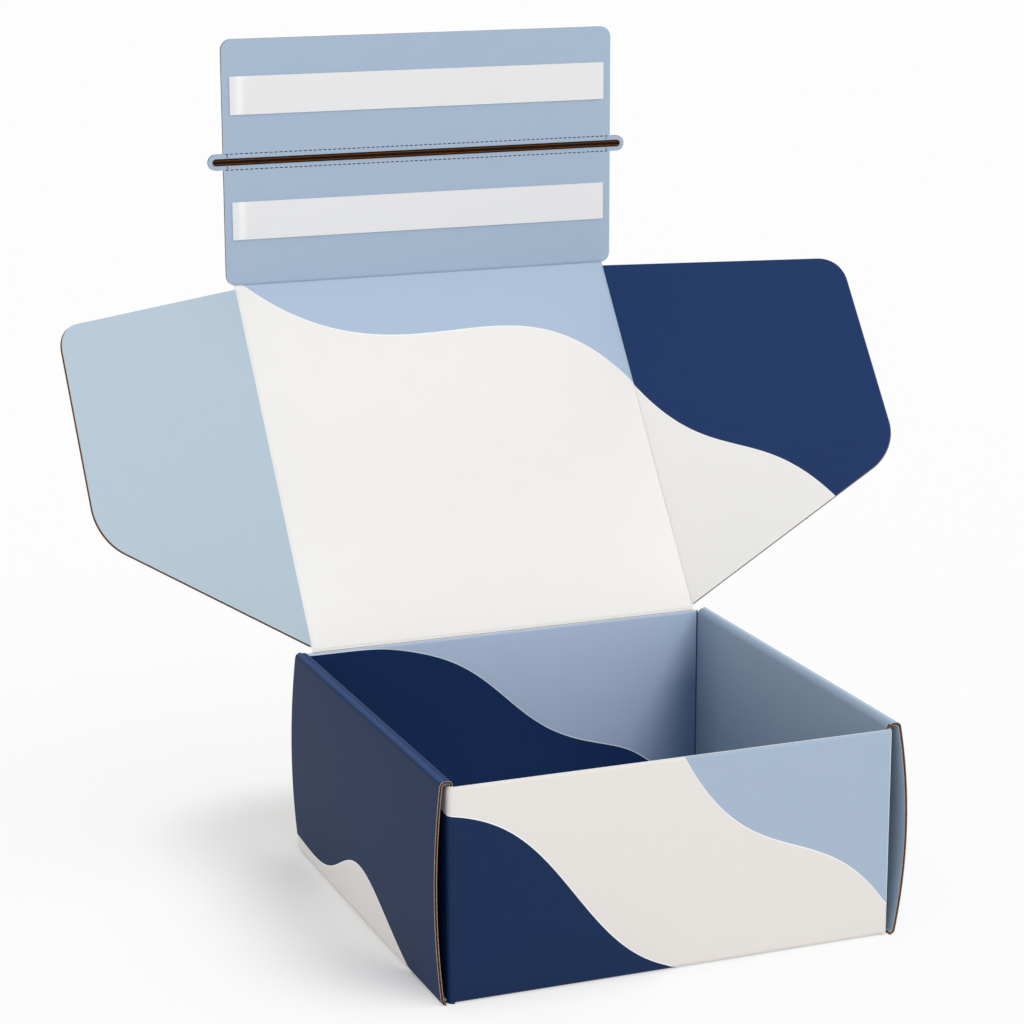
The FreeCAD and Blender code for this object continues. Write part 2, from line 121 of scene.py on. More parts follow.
def ink_of(name, description, *colour):
    """Property that holds a colour, given as linear red, green and blue."""
    return vector_of(name, description, colour, "COLOR")


class BoardSizes(bpy.types.PropertyGroup):
    """Make-up of the board and the sizes of the folded tray."""

    board: length_of("Board", "Thickness of the board", 1.5)
    liner: length_of("Liner", "Thickness of one paper liner", 0.26)
    core: length_of("Core", "Thickness of the fluted paper", 0.2)
    core_inset: length_of("Core inset", "Core kept back from a cut edge", 0.1)
    flute: length_of("Flute", "One flute to the next", 3.35)
    crushed: length_of("Crushed", "Board's thickness in a crease", 0.7)
    crease_lap: length_of("Crease lap", "Reach of the lid past a hinged crease's axis", 0.25)
    crease_room: length_of("Crease room", "Hinged crease's axis to the edge of the other panel", 0.45)
    crease: length_of("Crease", "Reach of a crease to each side", 1.6)
    front_height: length_of("Front height", "Top of the front wall", 106.3)
    roll_height: length_of("Roll height", "Crown of the rolled sides", 109.8)
    fold: length_of("Fold", "Outside radius of a square fold", 3.0)
    half_width: length_of("Half width", "Middle to the front wall's side edge", 115.0)
    side_offset: length_of("Side offset", "Side wall's face beyond the front wall's edge", 4.0)
    roll_width: length_of("Roll width", "Rolled side wall, outside to inside", 7.2)
    play: length_of("Play", "Clearance of the inner panels", 0.2)
    left_lean: turn_of("Left lean", "Outward lean of the left wall at its folds", 6.6)
    right_lean: turn_of("Right lean", "Outward lean of the right wall at its folds", 10.9)
    lip_turn: turn_of("Lip turn", "Turn of the roll's lip over the front wall", 40.0)
    tab_length: length_of("Tab length", "Length of a locking tab", 32.0)
    tab_spacing: length_of("Tab spacing", "Distance between the tabs of a side", 104.0)
    corner_flap: length_of("Corner flap", "Reach of a corner flap", 58.0)


class PanelSizes(bpy.types.PropertyGroup):
    """Outlines of the lid's ears and of the closing flap."""

    ear_reach: length_of("Ear reach", "Ear's crease to its far edge", 133.0)
    ear_foot: length_of("Ear foot", "Lowest point of the ear", 2.6)
    ear_low: length_of("Ear low", "Lower far corner", 48.7)
    ear_high: length_of("Ear high", "Upper far corner", 167.0)
    ear_head: length_of("Ear head", "Ear's top below the flap crease", 2.4)
    ear_low_radius: length_of("Low radius", "Rounding of the lower far corner", 24.0)
    ear_high_radius: length_of("High radius", "Rounding of the upper far corner", 19.0)
    lid_half: bpy.props.FloatProperty(
        name="Lid half", description="Middle of the lid to an ear's crease",
        default=abs(JOINTS["left_ear_hinge"]["pos_m"][0]), unit="LENGTH")
    flap_half: length_of("Flap half", "Middle of the flap to its side edge", 114.1)
    flap_length: length_of("Flap length", "Flap's crease to its far edge", 134.3)
    flap_radius: length_of("Flap radius", "Rounding of the flap's corners", 6.0)
    tear_middle: length_of("Tear middle", "Flap crease to the tear band's middle", 68.2)
    tear_height: length_of("Tear height", "Width of the tear band", 8.8)
    cut_pitch: length_of("Cut pitch", "One perforation to the next", 2.8)
    cut_length: length_of("Cut length", "Length of a perforation", 1.8)
    cut_width: length_of("Cut width", "Width of a perforation", 0.5)
    nick_inset: length_of("Nick inset", "Flap's edge to the cut where a pull tab starts", 2.25)
    nick_length: length_of("Nick length", "Length of that cut", 1.4)
    tape_width: length_of("Tape width", "Width of the tear tape", 3.8)
    cut_inset: length_of("Cut inset", "Perforations inside the band's edge", 0.1)


class PrintColours(bpy.types.PropertyGroup):
    """Inks and papers, as linear colours, some lightened or darkened by painted light and shade."""

    navy: ink_of("Navy", "Dark blue inside", 0.0105, 0.038, 0.131)
    front_navy: ink_of("Outer navy", "Dark blue outside", 0.006, 0.024, 0.083)
    blue: ink_of("Pale blue", "Pale blue field", 0.385, 0.48, 0.605)
    lid_blue: ink_of("Lid blue", "Pale blue of the lid and the flap", 0.405, 0.508, 0.65)
    side_navy: ink_of("Side navy", "Dark blue of the left wall", 0.0045, 0.0205, 0.071)
    ear_blue: ink_of("Ear blue", "Paler blue of the left ear", 0.452, 0.553, 0.64)
    # Painted light: a brighter copy of the white, for the lid's foot and the right ear.
    painted_lit_white: ink_of("Lower white", "White liner of the lid's foot and of the right ear",
                       0.885, 0.87, 0.843)
    white: ink_of("Off-white", "White liner inside", 0.83, 0.815, 0.79)
    front_white: ink_of("Outer white", "White liner outside", 0.79, 0.755, 0.725)
    keyline: ink_of("Keyline", "Thin line between fields", 0.93, 0.93, 0.925)
    inner_keyline: ink_of("Inner keyline", "Thin line between fields inside", 0.74, 0.82, 0.90)
    # Painted shade: a darker copy of the navy, for the faces inside the tray.
    shade_darkened_navy: ink_of("Inner navy", "Dark blue inside the tray", 0.0035, 0.0245, 0.1)
    # Painted shade: a darker copy of the pale blue, for the right wall inside the tray.
    shade_darkened_blue: ink_of("Inner blue", "Pale blue inside the right wall", 0.286, 0.376, 0.485)
    back_blue: ink_of("Back blue", "Pale blue of the back wall", 0.491, 0.611, 0.799)
    # Painted shadow: a dark line for the shade in the gap where the inner right wall meets the back
    # wall.
    seam: ink_of("Seam", "Dark line where the inner right wall meets the back wall", 0.03, 0.055, 0.11)
    # Painted shade: the deeper blue that the walls inside darken towards with depth and near the back
    # corner.
    corner_shade_blue: ink_of("Corner blue", "Deeper blue towards the inner back corner", 0.04, 0.10, 0.22)
    # Painted highlight: a paler navy for the left roll, where light falls on its curve.
    roll_highlight_navy: ink_of("Roll navy", "Dark blue on the rolled edge, lightened by the fold",
                      0.022, 0.058, 0.158)
    liner_edge: ink_of("Liner edge", "Cut edge of a liner", 0.42, 0.33, 0.26)
    core: ink_of("Core", "Fluted kraft core", 0.19, 0.095, 0.048)
    shaded_core: ink_of("Shaded core", "Core as seen through the perforation", 0.012, 0.014, 0.024)
    keyline_width: length_of("Keyline width", "Width of the line between fields", 0.55)


class StageSettings(bpy.types.PropertyGroup):
    """Camera, lamps and floor."""

    camera_place: vector_of("Camera", "Camera's place", (-0.549, -1.2952, 0.5517), "TRANSLATION")
    camera_yaw: turn_of("Yaw", "Turn to the right of straight back", 21.45)
    camera_pitch: turn_of("Pitch", "Tilt downwards", 14.04)
    camera_roll: turn_of("Roll", "Roll about the view", -0.11)
    lens: number_of("Lens", "Focal length in millimetres on a 36 mm film", 102.9)
    key_strength: number_of("Key", "Strength of the wide top light in watts a square metre", 1.13)
    key_spread: turn_of("Key spread", "Angle of the top light as seen from the box", 65.0)
    key_from: vector_of("Key from", "Direction that the top light comes from",
                        (0.30, -0.33, 0.89), "DIRECTION")
    fill_strength: number_of("Fill", "Strength of the low fill light in watts a square metre", 0.28)
    fill_from: vector_of("Fill from", "Direction that the fill light comes from",
                         (-0.78, -0.60, 0.12), "DIRECTION")
    sky: number_of("Sky", "Strength of the surrounding light", 0.745)
    page: number_of("Page", "White of the background", 0.99)
    floor_glow: number_of("Floor page", "Share of page white in the floor as seen, far out",
                          0.756, "FACTOR")
    foot_glow: number_of("Foot page", "Share of page white in the floor by the box's foot",
                         0.137, "FACTOR")
    foot_middle: vector_of("Foot middle", "Middle of the foot's zone on the floor",
                           (-42.0 * MM, 50.0 * MM, 0.0), "TRANSLATION")
    foot_half: vector_of("Foot half", "Half sizes of the foot's zone",
                         (61.0 * MM, 79.0 * MM, 0.0), "TRANSLATION")
    foot_start: length_of("Foot start", "Distance from the zone at which the share climbs", 37.0)
    foot_end: length_of("Foot end", "Distance from the zone at which the climb ends", 108.0)
    floor_white: number_of("Floor white", "Share of the light that the floor throws back",
                           0.885, "FACTOR")


def settings():
    """The four property groups of the scene."""
    scene = bpy.context.scene
    return scene.board_sizes, scene.panel_sizes, scene.print_colours, scene.stage_settings


def blank():
    """Empty bundle of surface parts."""
    return {"points": [], "faces": [], "slots": [], "flat": [], "count": 0}


def flat_rows(first, last, *edges):
    """Sorted grid lines from first to last that also hit every edge given."""
    inside = [edge for edge in np.ravel(np.concatenate([np.atleast_1d(e) for e in edges]))
              if first < edge < last] if edges else []
    return np.unique(np.round(np.concatenate([[first, last], inside]), 7))


def crease_lines(at, side, reach):
    """Grid lines that crowd towards a crease at `at` on the given side of it."""
    return at + side * reach * np.array([0.12, 0.25, 0.4, 0.55, 0.7, 0.85, 1.0])


def add_sheet(bundle, us, vs, lower, upper, low_w, high_w, place, slots, holes=None):
    """Add one closed sheet of paper over the outline lower(u) <= v <= upper(u).

    The sheet is a grid of lines u and v whose v is held between the two borders.  Its bottom lies
    at height low_w(u, v) and its top at high_w(u, v) off the panel's middle, and place turns
    (u, v, w) into points.  Cells that the borders squeeze flat or that holes covers are left out,
    and every open edge gets a wall, so the sheet is closed.  slots are the material slots of the
    top, the bottom and the walls.
    """
    grid_u, grid_v = np.meshgrid(us, vs, indexing="ij")
    grid_v = np.clip(grid_v, lower(us)[:, None], upper(us)[:, None])
    top = place(grid_u, grid_v, high_w(grid_u, grid_v))
    bottom = place(grid_u, grid_v, low_w(grid_u, grid_v))
    rise = np.diff(grid_v, axis=1) > SLIVER
    present = rise[:-1] | rise[1:]
    if holes is not None:
        mid_u = (grid_u[:-1, :-1] + grid_u[1:, 1:]) / 2
        mid_v = (grid_v[:-1, :-1] + grid_v[1:, 1:]) / 2
        present &= ~holes(mid_u, mid_v)
    columns, rows = len(us), len(vs)
    index = np.arange(columns * rows).reshape(columns, rows)
    a, b = index[:-1, :-1][present], index[1:, :-1][present]
    c, d = index[1:, 1:][present], index[:-1, 1:][present]
    faces = [np.stack([a, b, c, d], 1)]
    kinds = [np.full(len(a), slots[0])]
    shift = columns * rows
    faces.append(np.stack([a, d, c, b], 1) + shift)
    kinds.append(np.full(len(a), slots[1]))
    padded = np.pad(present, 1)
    along_u = padded[1:-1, 1:].astype(int) - padded[1:-1, :-1].astype(int)
    along_v = padded[1:, 1:-1].astype(int) - padded[:-1, 1:-1].astype(int)
    for step, first, second, outward in (
        (along_u, index[:-1, :], index[1:, :], 1),
        (along_v, index[:, :-1], index[:, 1:], -1),
    ):
        for sign in (1, -1):
            chosen = step == sign
            p, q = first[chosen], second[chosen]
            if sign * outward < 0:
                p, q = q, p
            faces.append(np.stack([p, p + shift, q + shift, q], 1))
            kinds.append(np.full(len(p), slots[2]))
    bundle["points"] += [top.reshape(-1, 3), bottom.reshape(-1, 3)]
    flat = np.stack([grid_u.ravel(), grid_v.ravel()], 1)
    bundle["flat"] += [flat, flat]
    bundle["faces"] += [block + bundle["count"] for block in faces]
    bundle["slots"] += kinds
    bundle["count"] += 2 * shift
    return bundle


def make_piece(name, bundle, materials):
    """Mesh object at the origin from a bundle, its UV map the panel's own metres."""
    points, faces, kinds, flat = (np.concatenate(bundle[part])
                                  for part in ("points", "faces", "slots", "flat"))
    mesh = bpy.data.meshes.new(name)
    mesh.from_pydata(points.tolist(), [], faces.tolist())
    layer = mesh.uv_layers.new(name="panel")
    corners = np.empty(len(mesh.loops), np.int32)
    mesh.loops.foreach_get("vertex_index", corners)
    layer.data.foreach_set("uv", flat[corners].astype(np.float32).ravel())
    mesh.polygons.foreach_set("material_index", kinds.astype(np.int32))
    for material in materials:
        mesh.materials.append(material)
    work = bmesh.new()
    work.from_mesh(mesh)
    bmesh.ops.remove_doubles(work, verts=work.verts, dist=2 * SLIVER)
    bmesh.ops.dissolve_degenerate(work, edges=work.edges, dist=SLIVER)
    loose = [vertex for vertex in work.verts if not vertex.link_faces]
    bmesh.ops.delete(work, geom=loose, context="VERTS")
    work.to_mesh(mesh)
    work.free()
    mesh.polygons.foreach_set("use_smooth", np.ones(len(mesh.polygons), bool))
    mesh.set_sharp_from_angle(angle=SHARP)
    piece = bpy.data.objects.new(name, mesh)
    bpy.context.scene.collection.objects.link(piece)
    return piece


def panel_place(origin, across, along):
    """Placement of a flat panel: origin + u * across + v * along + w * (across x along)."""
    origin, across, along = (np.array(v, float) for v in (origin, across, along))
    normal = np.cross(across, along)

    def place(u, v, w):
        """origin + u * across + v * along + w * normal."""
        return origin + u[..., None] * across + v[..., None] * along + w[..., None] * normal

    return place


def add_board(bundle, us, vs, lower, upper, place, squeeze=None, holes=None, core_holes=None):
    """Add corrugated board: an upper liner, a lower liner and the sine-shaped core.

    squeeze(u, v) gives the board's half thickness.  Each liner fills the outer share of it, and
    the core is a thin sheet at amplitude * sin(2 pi u / flute) between the liners, so the flutes
    run along v.  The core is cut by core_holes alone, so fine cuts in the liners show it.
    """
    sizes = settings()[0]
    half = sizes.board / 2
    share = sizes.liner / half
    squeeze = squeeze or (lambda u, v: np.full_like(u, half))
    add_sheet(bundle, us, vs, lower, upper,
              lambda u, v: squeeze(u, v) * (1 - share), squeeze, place,
              (UPPER, CORE, EDGE), holes)
    add_sheet(bundle, us, vs, lower, upper,
              lambda u, v: -squeeze(u, v), lambda u, v: -squeeze(u, v) * (1 - share), place,
              (CORE, LOWER, EDGE), holes)
    steps = int(np.ceil((us[-1] - us[0]) / sizes.flute * WAVE_STEPS))
    waves = np.linspace(us[0], us[-1], steps + 1)
    thin = sizes.core / 2

    def swing(u, v):
        """Middle height of the core: the sine wave between the liners."""
        reach = squeeze(u, v) * (1 - share) - thin
        return reach * np.sin(2 * np.pi * u / sizes.flute)

    def core_upper(u):
        """Upper border of the core, never below its lower one."""
        return np.maximum(upper(u) - sizes.core_inset, lower(u) + sizes.core_inset)

    return add_sheet(bundle, waves, vs, lambda u: lower(u) + sizes.core_inset, core_upper,
                     lambda u, v: swing(u, v) - thin, lambda u, v: swing(u, v) + thin, place,
                     (CORE, CORE, CORE), core_holes)


def constant(value):
    """Border function with one value for every u."""
    return lambda u: np.full_like(np.asarray(u, float), value)


def rounded_lines(end, radius, count):
    """Grid lines over the last stretch of a rounded end: end - radius * (1 - sin(angle))."""
    return end - radius * (1 - np.sin(np.linspace(0, np.pi / 2, count)))


def round_end(u, tip, radius):
    """Half height at u of a strip with round ends: sqrt(radius ** 2 - past ** 2)."""
    past = np.maximum(np.abs(u) - (tip - radius), 0)
    return np.sqrt(np.maximum(radius**2 - past**2, 0))


class Path:
    """Chain of straight runs and arcs in a plane, starting at (x, y) along a heading.

    Each run has a length and a turn.  A point at distance s within a run of curvature k lies at
    start + (sin(a + k s) - sin a) / k along x and -(cos(a + k s) - cos a) / k along y, and a
    straight run is the limit of that.
    """

    def __init__(self, start, heading, runs):
        self.marks = [0.0]
        self.states = []
        x, y, angle = start[0], start[1], heading
        for length, turn in runs:
            bend = turn / length
            self.states.append((x, y, angle, bend))
            x, y, angle = self.step(x, y, angle, bend, length)
            self.marks.append(self.marks[-1] + length)
        self.length = self.marks[-1]

    @staticmethod
    def step(x, y, angle, bend, distance):
        """Point and heading at a distance along one run."""
        end = angle + bend * distance
        curved = np.abs(bend) > 1e-9
        safe = np.where(curved, bend, 1.0)
        dx = np.where(curved, (np.sin(end) - np.sin(angle)) / safe, np.cos(angle) * distance)
        dy = np.where(curved, -(np.cos(end) - np.cos(angle)) / safe, np.sin(angle) * distance)
        return x + dx, y + dy, end

    def at(self, s):
        """Points and headings at distances s, carried straight on past the last run."""
        found = np.searchsorted(self.marks[1:-1], s, side="right")
        states = np.array(self.states)[found]
        distance = s - np.array(self.marks)[found]
        past = np.maximum(s - self.length, 0.0)
        x, y, angle = self.step(states[..., 0], states[..., 1], states[..., 2], states[..., 3],
                                distance - past)
        return x + past * np.cos(angle), y + past * np.sin(angle), angle

    def lines(self, arc_step=np.radians(9), sagitta=0.008 * MM):
        """Grid lines along the path, close enough for small turns and flat chords."""
        lines = [0.0]
        for (_, _, _, bend), start, end in zip(self.states, self.marks, self.marks[1:]):
            turn = abs(bend) * (end - start)
            chord = np.sqrt(8 * sagitta / abs(bend)) if bend else end - start
            count = int(np.ceil(max(turn / arc_step, (end - start) / chord, 1)))
            lines += list(np.linspace(start, end, count + 1)[1:])
        return np.array(lines)


class Nodes:
    """Short calls for the nodes of one tree.  A value is a socket, a number or a colour."""

    def __init__(self, tree):
        self.tree = tree

    def put(self, value, socket):
        """Link a socket to an input, or set a plain value on it."""
        if isinstance(value, bpy.types.NodeSocket):
            self.tree.links.new(value, socket)
        else:
            socket.default_value = value

    def add(self, kind, inputs=None, **options):
        """New node with its options, then its inputs by name or number."""
        node = self.tree.nodes.new(kind)
        for key, value in options.items():
            setattr(node, key, value)
        for key, value in (inputs or {}).items():
            self.put(value, node.inputs[key])
        return node

    def math(self, operation, *values):
        """Output of a math node."""
        inputs = dict(enumerate(values))
        return self.add("ShaderNodeMath", inputs, operation=operation).outputs[0]

    def mix(self, factor, first, second):
        """Colour that is first where the factor is 0 and second where it is 1."""
        node = self.add("ShaderNodeMix", {"Factor": factor}, data_type="RGBA")
        for socket, value in ((node.inputs[6], first), (node.inputs[7], second)):
            if not isinstance(value, bpy.types.NodeSocket):
                value = (*value[:3], 1.0)
            self.put(value, socket)
        return node.outputs[2]

    def beyond(self, x, limit, first, second):
        """Colour that is first up to the limit and second where x is greater."""
        return self.mix(self.math("GREATER_THAN", x, limit), first, second)

    def climb(self, x, start, end, shape="SMOOTHSTEP"):
        """Climb from 0 at start to 1 at end, flat beyond both."""
        inputs = {"Value": x, "From Min": start, "From Max": end}
        return self.add("ShaderNodeMapRange", inputs, interpolation_type=shape).outputs[0]

    def scaled(self, x, centre, scale):
        """(x - centre) / scale, with both numbers in millimetres."""
        return self.math("DIVIDE", self.math("SUBTRACT", x, centre * MM), scale * MM)

    def bell(self, t):
        """exp(-t * t)."""
        square = self.math("MULTIPLY", self.math("MULTIPLY", t, t), -1.0)
        return self.math("EXPONENT", square)

    def noise(self, place, scale, detail, stretch=None):
        """Noise from 0 to 1, its place stretched along the axes where asked."""
        if stretch:
            place = self.add("ShaderNodeMapping", {"Vector": place, "Scale": stretch}).outputs[0]
        inputs = {"Vector": place, "Scale": scale, "Detail": detail}
        return self.add("ShaderNodeTexNoise", inputs).outputs["Fac"]

    def two_tone(self, factor, first, second, start=0.0, end=1.0):
        """Colour that runs from first to second as the factor runs from start to end."""
        node = self.add("ShaderNodeValToRGB", {"Fac": factor})
        elements = node.color_ramp.elements
        for element, place, colour in zip(elements, (start, end), (first, second)):
            element.position = place
            element.color = (*colour, 1.0)
        return node.outputs["Color"]


class PanelPaint(Nodes):
    """New material, with the panel's UV map in metres as place, u and v."""

    def __init__(self, name):
        self.material = bpy.data.materials.new(name)
        self.material.use_nodes = True
        super().__init__(self.material.node_tree)
        self.shader = self.tree.nodes["Principled BSDF"]
        self.place = self.add("ShaderNodeUVMap", uv_map="panel").outputs[0]
        split = self.add("ShaderNodeSeparateXYZ", {0: self.place})
        self.u, self.v = split.outputs[0], split.outputs[1]

    def surface(self, colour, rough, gloss):
        """Set or link the colour, roughness and gloss."""
        self.put(colour, self.shader.inputs["Base Color"])
        self.put(rough, self.shader.inputs["Roughness"])
        self.put(gloss, self.shader.inputs["Specular IOR Level"])

    def bump(self, height, strength, distance):
        """Raise the surface by a height."""
        inputs = {"Height": height, "Strength": strength, "Distance": distance}
        self.put(self.add("ShaderNodeBump", inputs).outputs[0], self.shader.inputs["Normal"])

    def field(self, wave, below, above, keyline, height=None):
        """Colour below and above a wave's height, and the keyline along it."""
        distance = self.math("SUBTRACT", self.v if height is None else height, wave)
        colour = self.beyond(distance, 0.0, below, above)
        half = settings()[2].keyline_width / 2
        near = self.math("LESS_THAN", self.math("ABSOLUTE", distance), half)
        return self.mix(near, colour, keyline)

    def polynomial(self, centre, scale, factors):
        """Sum of factors[k] * t**k with t = (u - centre) / scale, by Horner's rule."""
        t = self.scaled(self.u, centre, scale)
        total = self.math("MULTIPLY_ADD", t, 0.0, factors[-1] * MM)
        for factor in reversed(factors[:-1]):
            total = self.math("MULTIPLY_ADD", total, t, factor * MM)
        return total

    def fall(self, middle, drop, centre, spread):
        """middle - drop * tanh((u - centre) / spread)."""
        t = self.math("TANH", self.scaled(self.u, centre, spread))
        return self.math("MULTIPLY_ADD", t, -drop * MM, middle * MM)

    def hump(self, base, slope, rise, centre, spread, narrowing):
        """base + slope * v + rise * exp(-((v - centre) / (spread - narrowing * v)) ** 2)."""
        width = self.math("MULTIPLY_ADD", self.v, -narrowing, spread * MM)
        t = self.math("DIVIDE", self.math("SUBTRACT", self.v, centre * MM), width)
        bell = self.math("MULTIPLY", self.bell(t), rise * MM)
        return self.math("ADD", bell, self.math("MULTIPLY_ADD", self.v, slope, base * MM))

    def paper_finish(self, colour):
        """Matt printed paper: fine fibre mottle, a laid weave and a faint ripple over the flutes.

        The colour is darkened and lightened a little by two noises, and the bump adds the weave,
        made of two crossed noises stretched along u and v, to the ripple sin(2 pi u / flute).
        """
        along, across = 520.0, 3400.0
        weave = self.math("ADD", *[self.noise(self.place, 1.0, 2.0, (*fibre, 1.0))
                                   for fibre in ((along, across), (across, along))])
        cloud = self.noise(self.place, 60.0, 4.0)
        faint = PAPER_TINT * 0.9
        smoothest, rougher, gloss, relief = 0.52, 0.08, 0.15, 0.55
        mottle = self.math("MULTIPLY_ADD", weave, faint, 1.0 - faint)
        mottle = self.math("SUBTRACT", mottle, PAPER_TINT / 2)
        mottle = self.math("MULTIPLY_ADD", cloud, PAPER_TINT, mottle)
        if not isinstance(colour, bpy.types.NodeSocket):
            colour = colour[:3]
        inputs = {0: colour, "Scale": mottle}
        mottled = self.add("ShaderNodeVectorMath", inputs, operation="SCALE").outputs[0]
        self.surface(mottled, self.math("MULTIPLY_ADD", weave, rougher, smoothest), gloss)
        flute = settings()[0].flute
        wave = self.math("SINE", self.math("MULTIPLY", self.u, 2 * np.pi / flute))
        ripple = self.math("MULTIPLY", wave, FLUTE_RIPPLE)
        self.bump(self.math("MULTIPLY_ADD", weave, WEAVE_DEPTH, ripple), relief, 1.0)


def printed(name, field=None, plain=None):
    """Liner made once under its name: a plain ink, or what field(paint, inks) works out."""
    made = bpy.data.materials.get(name)
    if made:
        return made
    paint = PanelPaint(name)
    paint.paper_finish(field(paint, settings()[2]) if field else tuple(plain))
    return paint.material


def kraft(name, colour, rough, spread, crease=None, paper=None):
    """Uncoated brown paper, darkened and lightened by fibres, under printed paper at a crease."""
    paint = PanelPaint(name)
    fibres = paint.noise(paint.place, 2600.0, 3.0)
    dark = [c * (1 - spread) for c in colour]
    pale = [min(c * (1 + spread), 1.0) for c in colour]
    shade = paint.two_tone(fibres, dark, pale, 0.3, 0.72)
    if crease is not None:
        away = paint.math("ABSOLUTE", (paint.u, paint.v)[crease])
        shade = paint.mix(paint.math("LESS_THAN", away, PAPER_REACH), shade, paper)
    paint.surface(shade, rough, 0.2)
    paint.bump(fibres, 0.4, 0.03 * MM)
    return paint.material


def front_field(paint, inks):
    """Front wall: navy below an S-shaped fall, pale blue above a second fall, white between.

    The right side fold is pale, unprinted liner with a painted highlight on its curve, and the top
    edge is unprinted.
    """
    sizes = settings()[0]
    first = paint.fall(middle=46.0, drop=50.3, centre=-51.8, spread=37.5)
    second = paint.polynomial(centre=72.0, scale=50.0, factors=(50.6, -20.9, -9.7, -17.8))
    colour = paint.field(second, inks.front_white, inks.blue, inks.keyline)
    colour = paint.field(first, inks.front_navy, colour, inks.keyline)
    printed_fold = 1.4 * MM
    # Past here the fold is pale: unprinted liner, and a painted highlight on its curve.
    bare_and_highlight_from = sizes.half_width - sizes.fold + printed_fold
    return paint.beyond(paint.u, bare_and_highlight_from, colour, inks.keyline)


def lid_field(paint, inks):
    """Lid's inner face: white, with pale blue above a wave that sinks to the right edge.

    The white is brighter towards the lid's foot: painted light.
    """
    # Painted light: the white brightens over this reach towards the lid's foot.
    painted_light_reach = 105.0 * MM
    wave = paint.polynomial(centre=12.0, scale=110.0,
                            factors=(180.0, 5.1, -1.8, -45.8, -15.2, -6.2))
    white = paint.mix(paint.climb(paint.v, painted_light_reach, 0.0), inks.white, inks.painted_lit_white)
    return paint.field(wave, white, inks.lid_blue, inks.keyline)


def right_ear_field(paint, inks):
    """Right ear: the lid's wave runs on, white with painted light below it and navy above."""
    wave = paint.polynomial(centre=52.0, scale=52.0, factors=(80.0, -34.8, -5.0, -28.6))
    # The white below the wave carries painted light.
    return paint.field(wave, inks.painted_lit_white, inks.navy, inks.keyline)


def back_field(paint, inks):
    """Back wall's inner face: navy below two falls, the first long and the second short.

    The navy, darkened by painted shade, stays just under the crease on the left, the crease itself
    is pale, unprinted liner with a painted highlight, and a painted shadow line marks the corner
    with the inner right wall.  The blue darkens evenly with depth, and beside the corner within a
    reach that grows with depth, as painted shade.
    """
    sizes = settings()[0]
    height = JOINTS["lid_hinge"]["pos_m"][2]
    first = paint.fall(middle=71.9, drop=24.4, centre=-1.2, spread=31.6)
    second = paint.fall(middle=-7.0, drop=7.0, centre=82.0, spread=13.0)
    slope = paint.math("MULTIPLY_ADD", paint.u, -0.17, -0.2 * MM)
    wave = paint.math("ADD", paint.math("ADD", first, second), slope)
    navy_top, blend = 107.9 * MM, 4.0 * MM
    wave = paint.math("SMOOTH_MIN", wave, navy_top, blend)
    seam_shadow_width, crest_width = 0.7 * MM, 0.3 * MM
    # Painted shade: the blue darkens with depth, and more within a reach of the corner that grows with
    # depth.
    deepest, least_reach, reach_growth = 0.42, 4.0 * MM, 0.6 * height
    corner_least, corner_growth, corner_most = 0.13, 1.86, 0.85
    corner = sizes.half_width + sizes.side_offset - sizes.roll_width - seam_shadow_width
    depth = paint.climb(paint.v, height, 0.0, "LINEAR")
    blue = paint.mix(paint.math("MULTIPLY", depth, deepest), inks.back_blue, inks.corner_shade_blue)
    reach = paint.math("MULTIPLY_ADD", depth, reach_growth, least_reach)
    near = paint.math("DIVIDE", paint.math("SUBTRACT", paint.u, corner), reach)
    strength = paint.math("MULTIPLY_ADD", depth, corner_growth, corner_least)
    strength = paint.math("MINIMUM", strength, corner_most)
    shade = paint.math("MULTIPLY", paint.climb(near, -1.0, 0.0), strength)
    blue = paint.mix(shade, blue, inks.corner_shade_blue)
    # Below the wave: navy darkened by painted shade.
    colour = paint.field(wave, inks.shade_darkened_navy, blue, inks.inner_keyline)
    # Painted shadow along the corner with the inner right wall.
    colour = paint.beyond(paint.u, corner, colour, inks.seam)
    # The crease band is pale: unprinted liner, and a painted highlight.
    crest = height - sizes.crease_room - crest_width
    return paint.beyond(paint.v, crest, colour, inks.keyline)


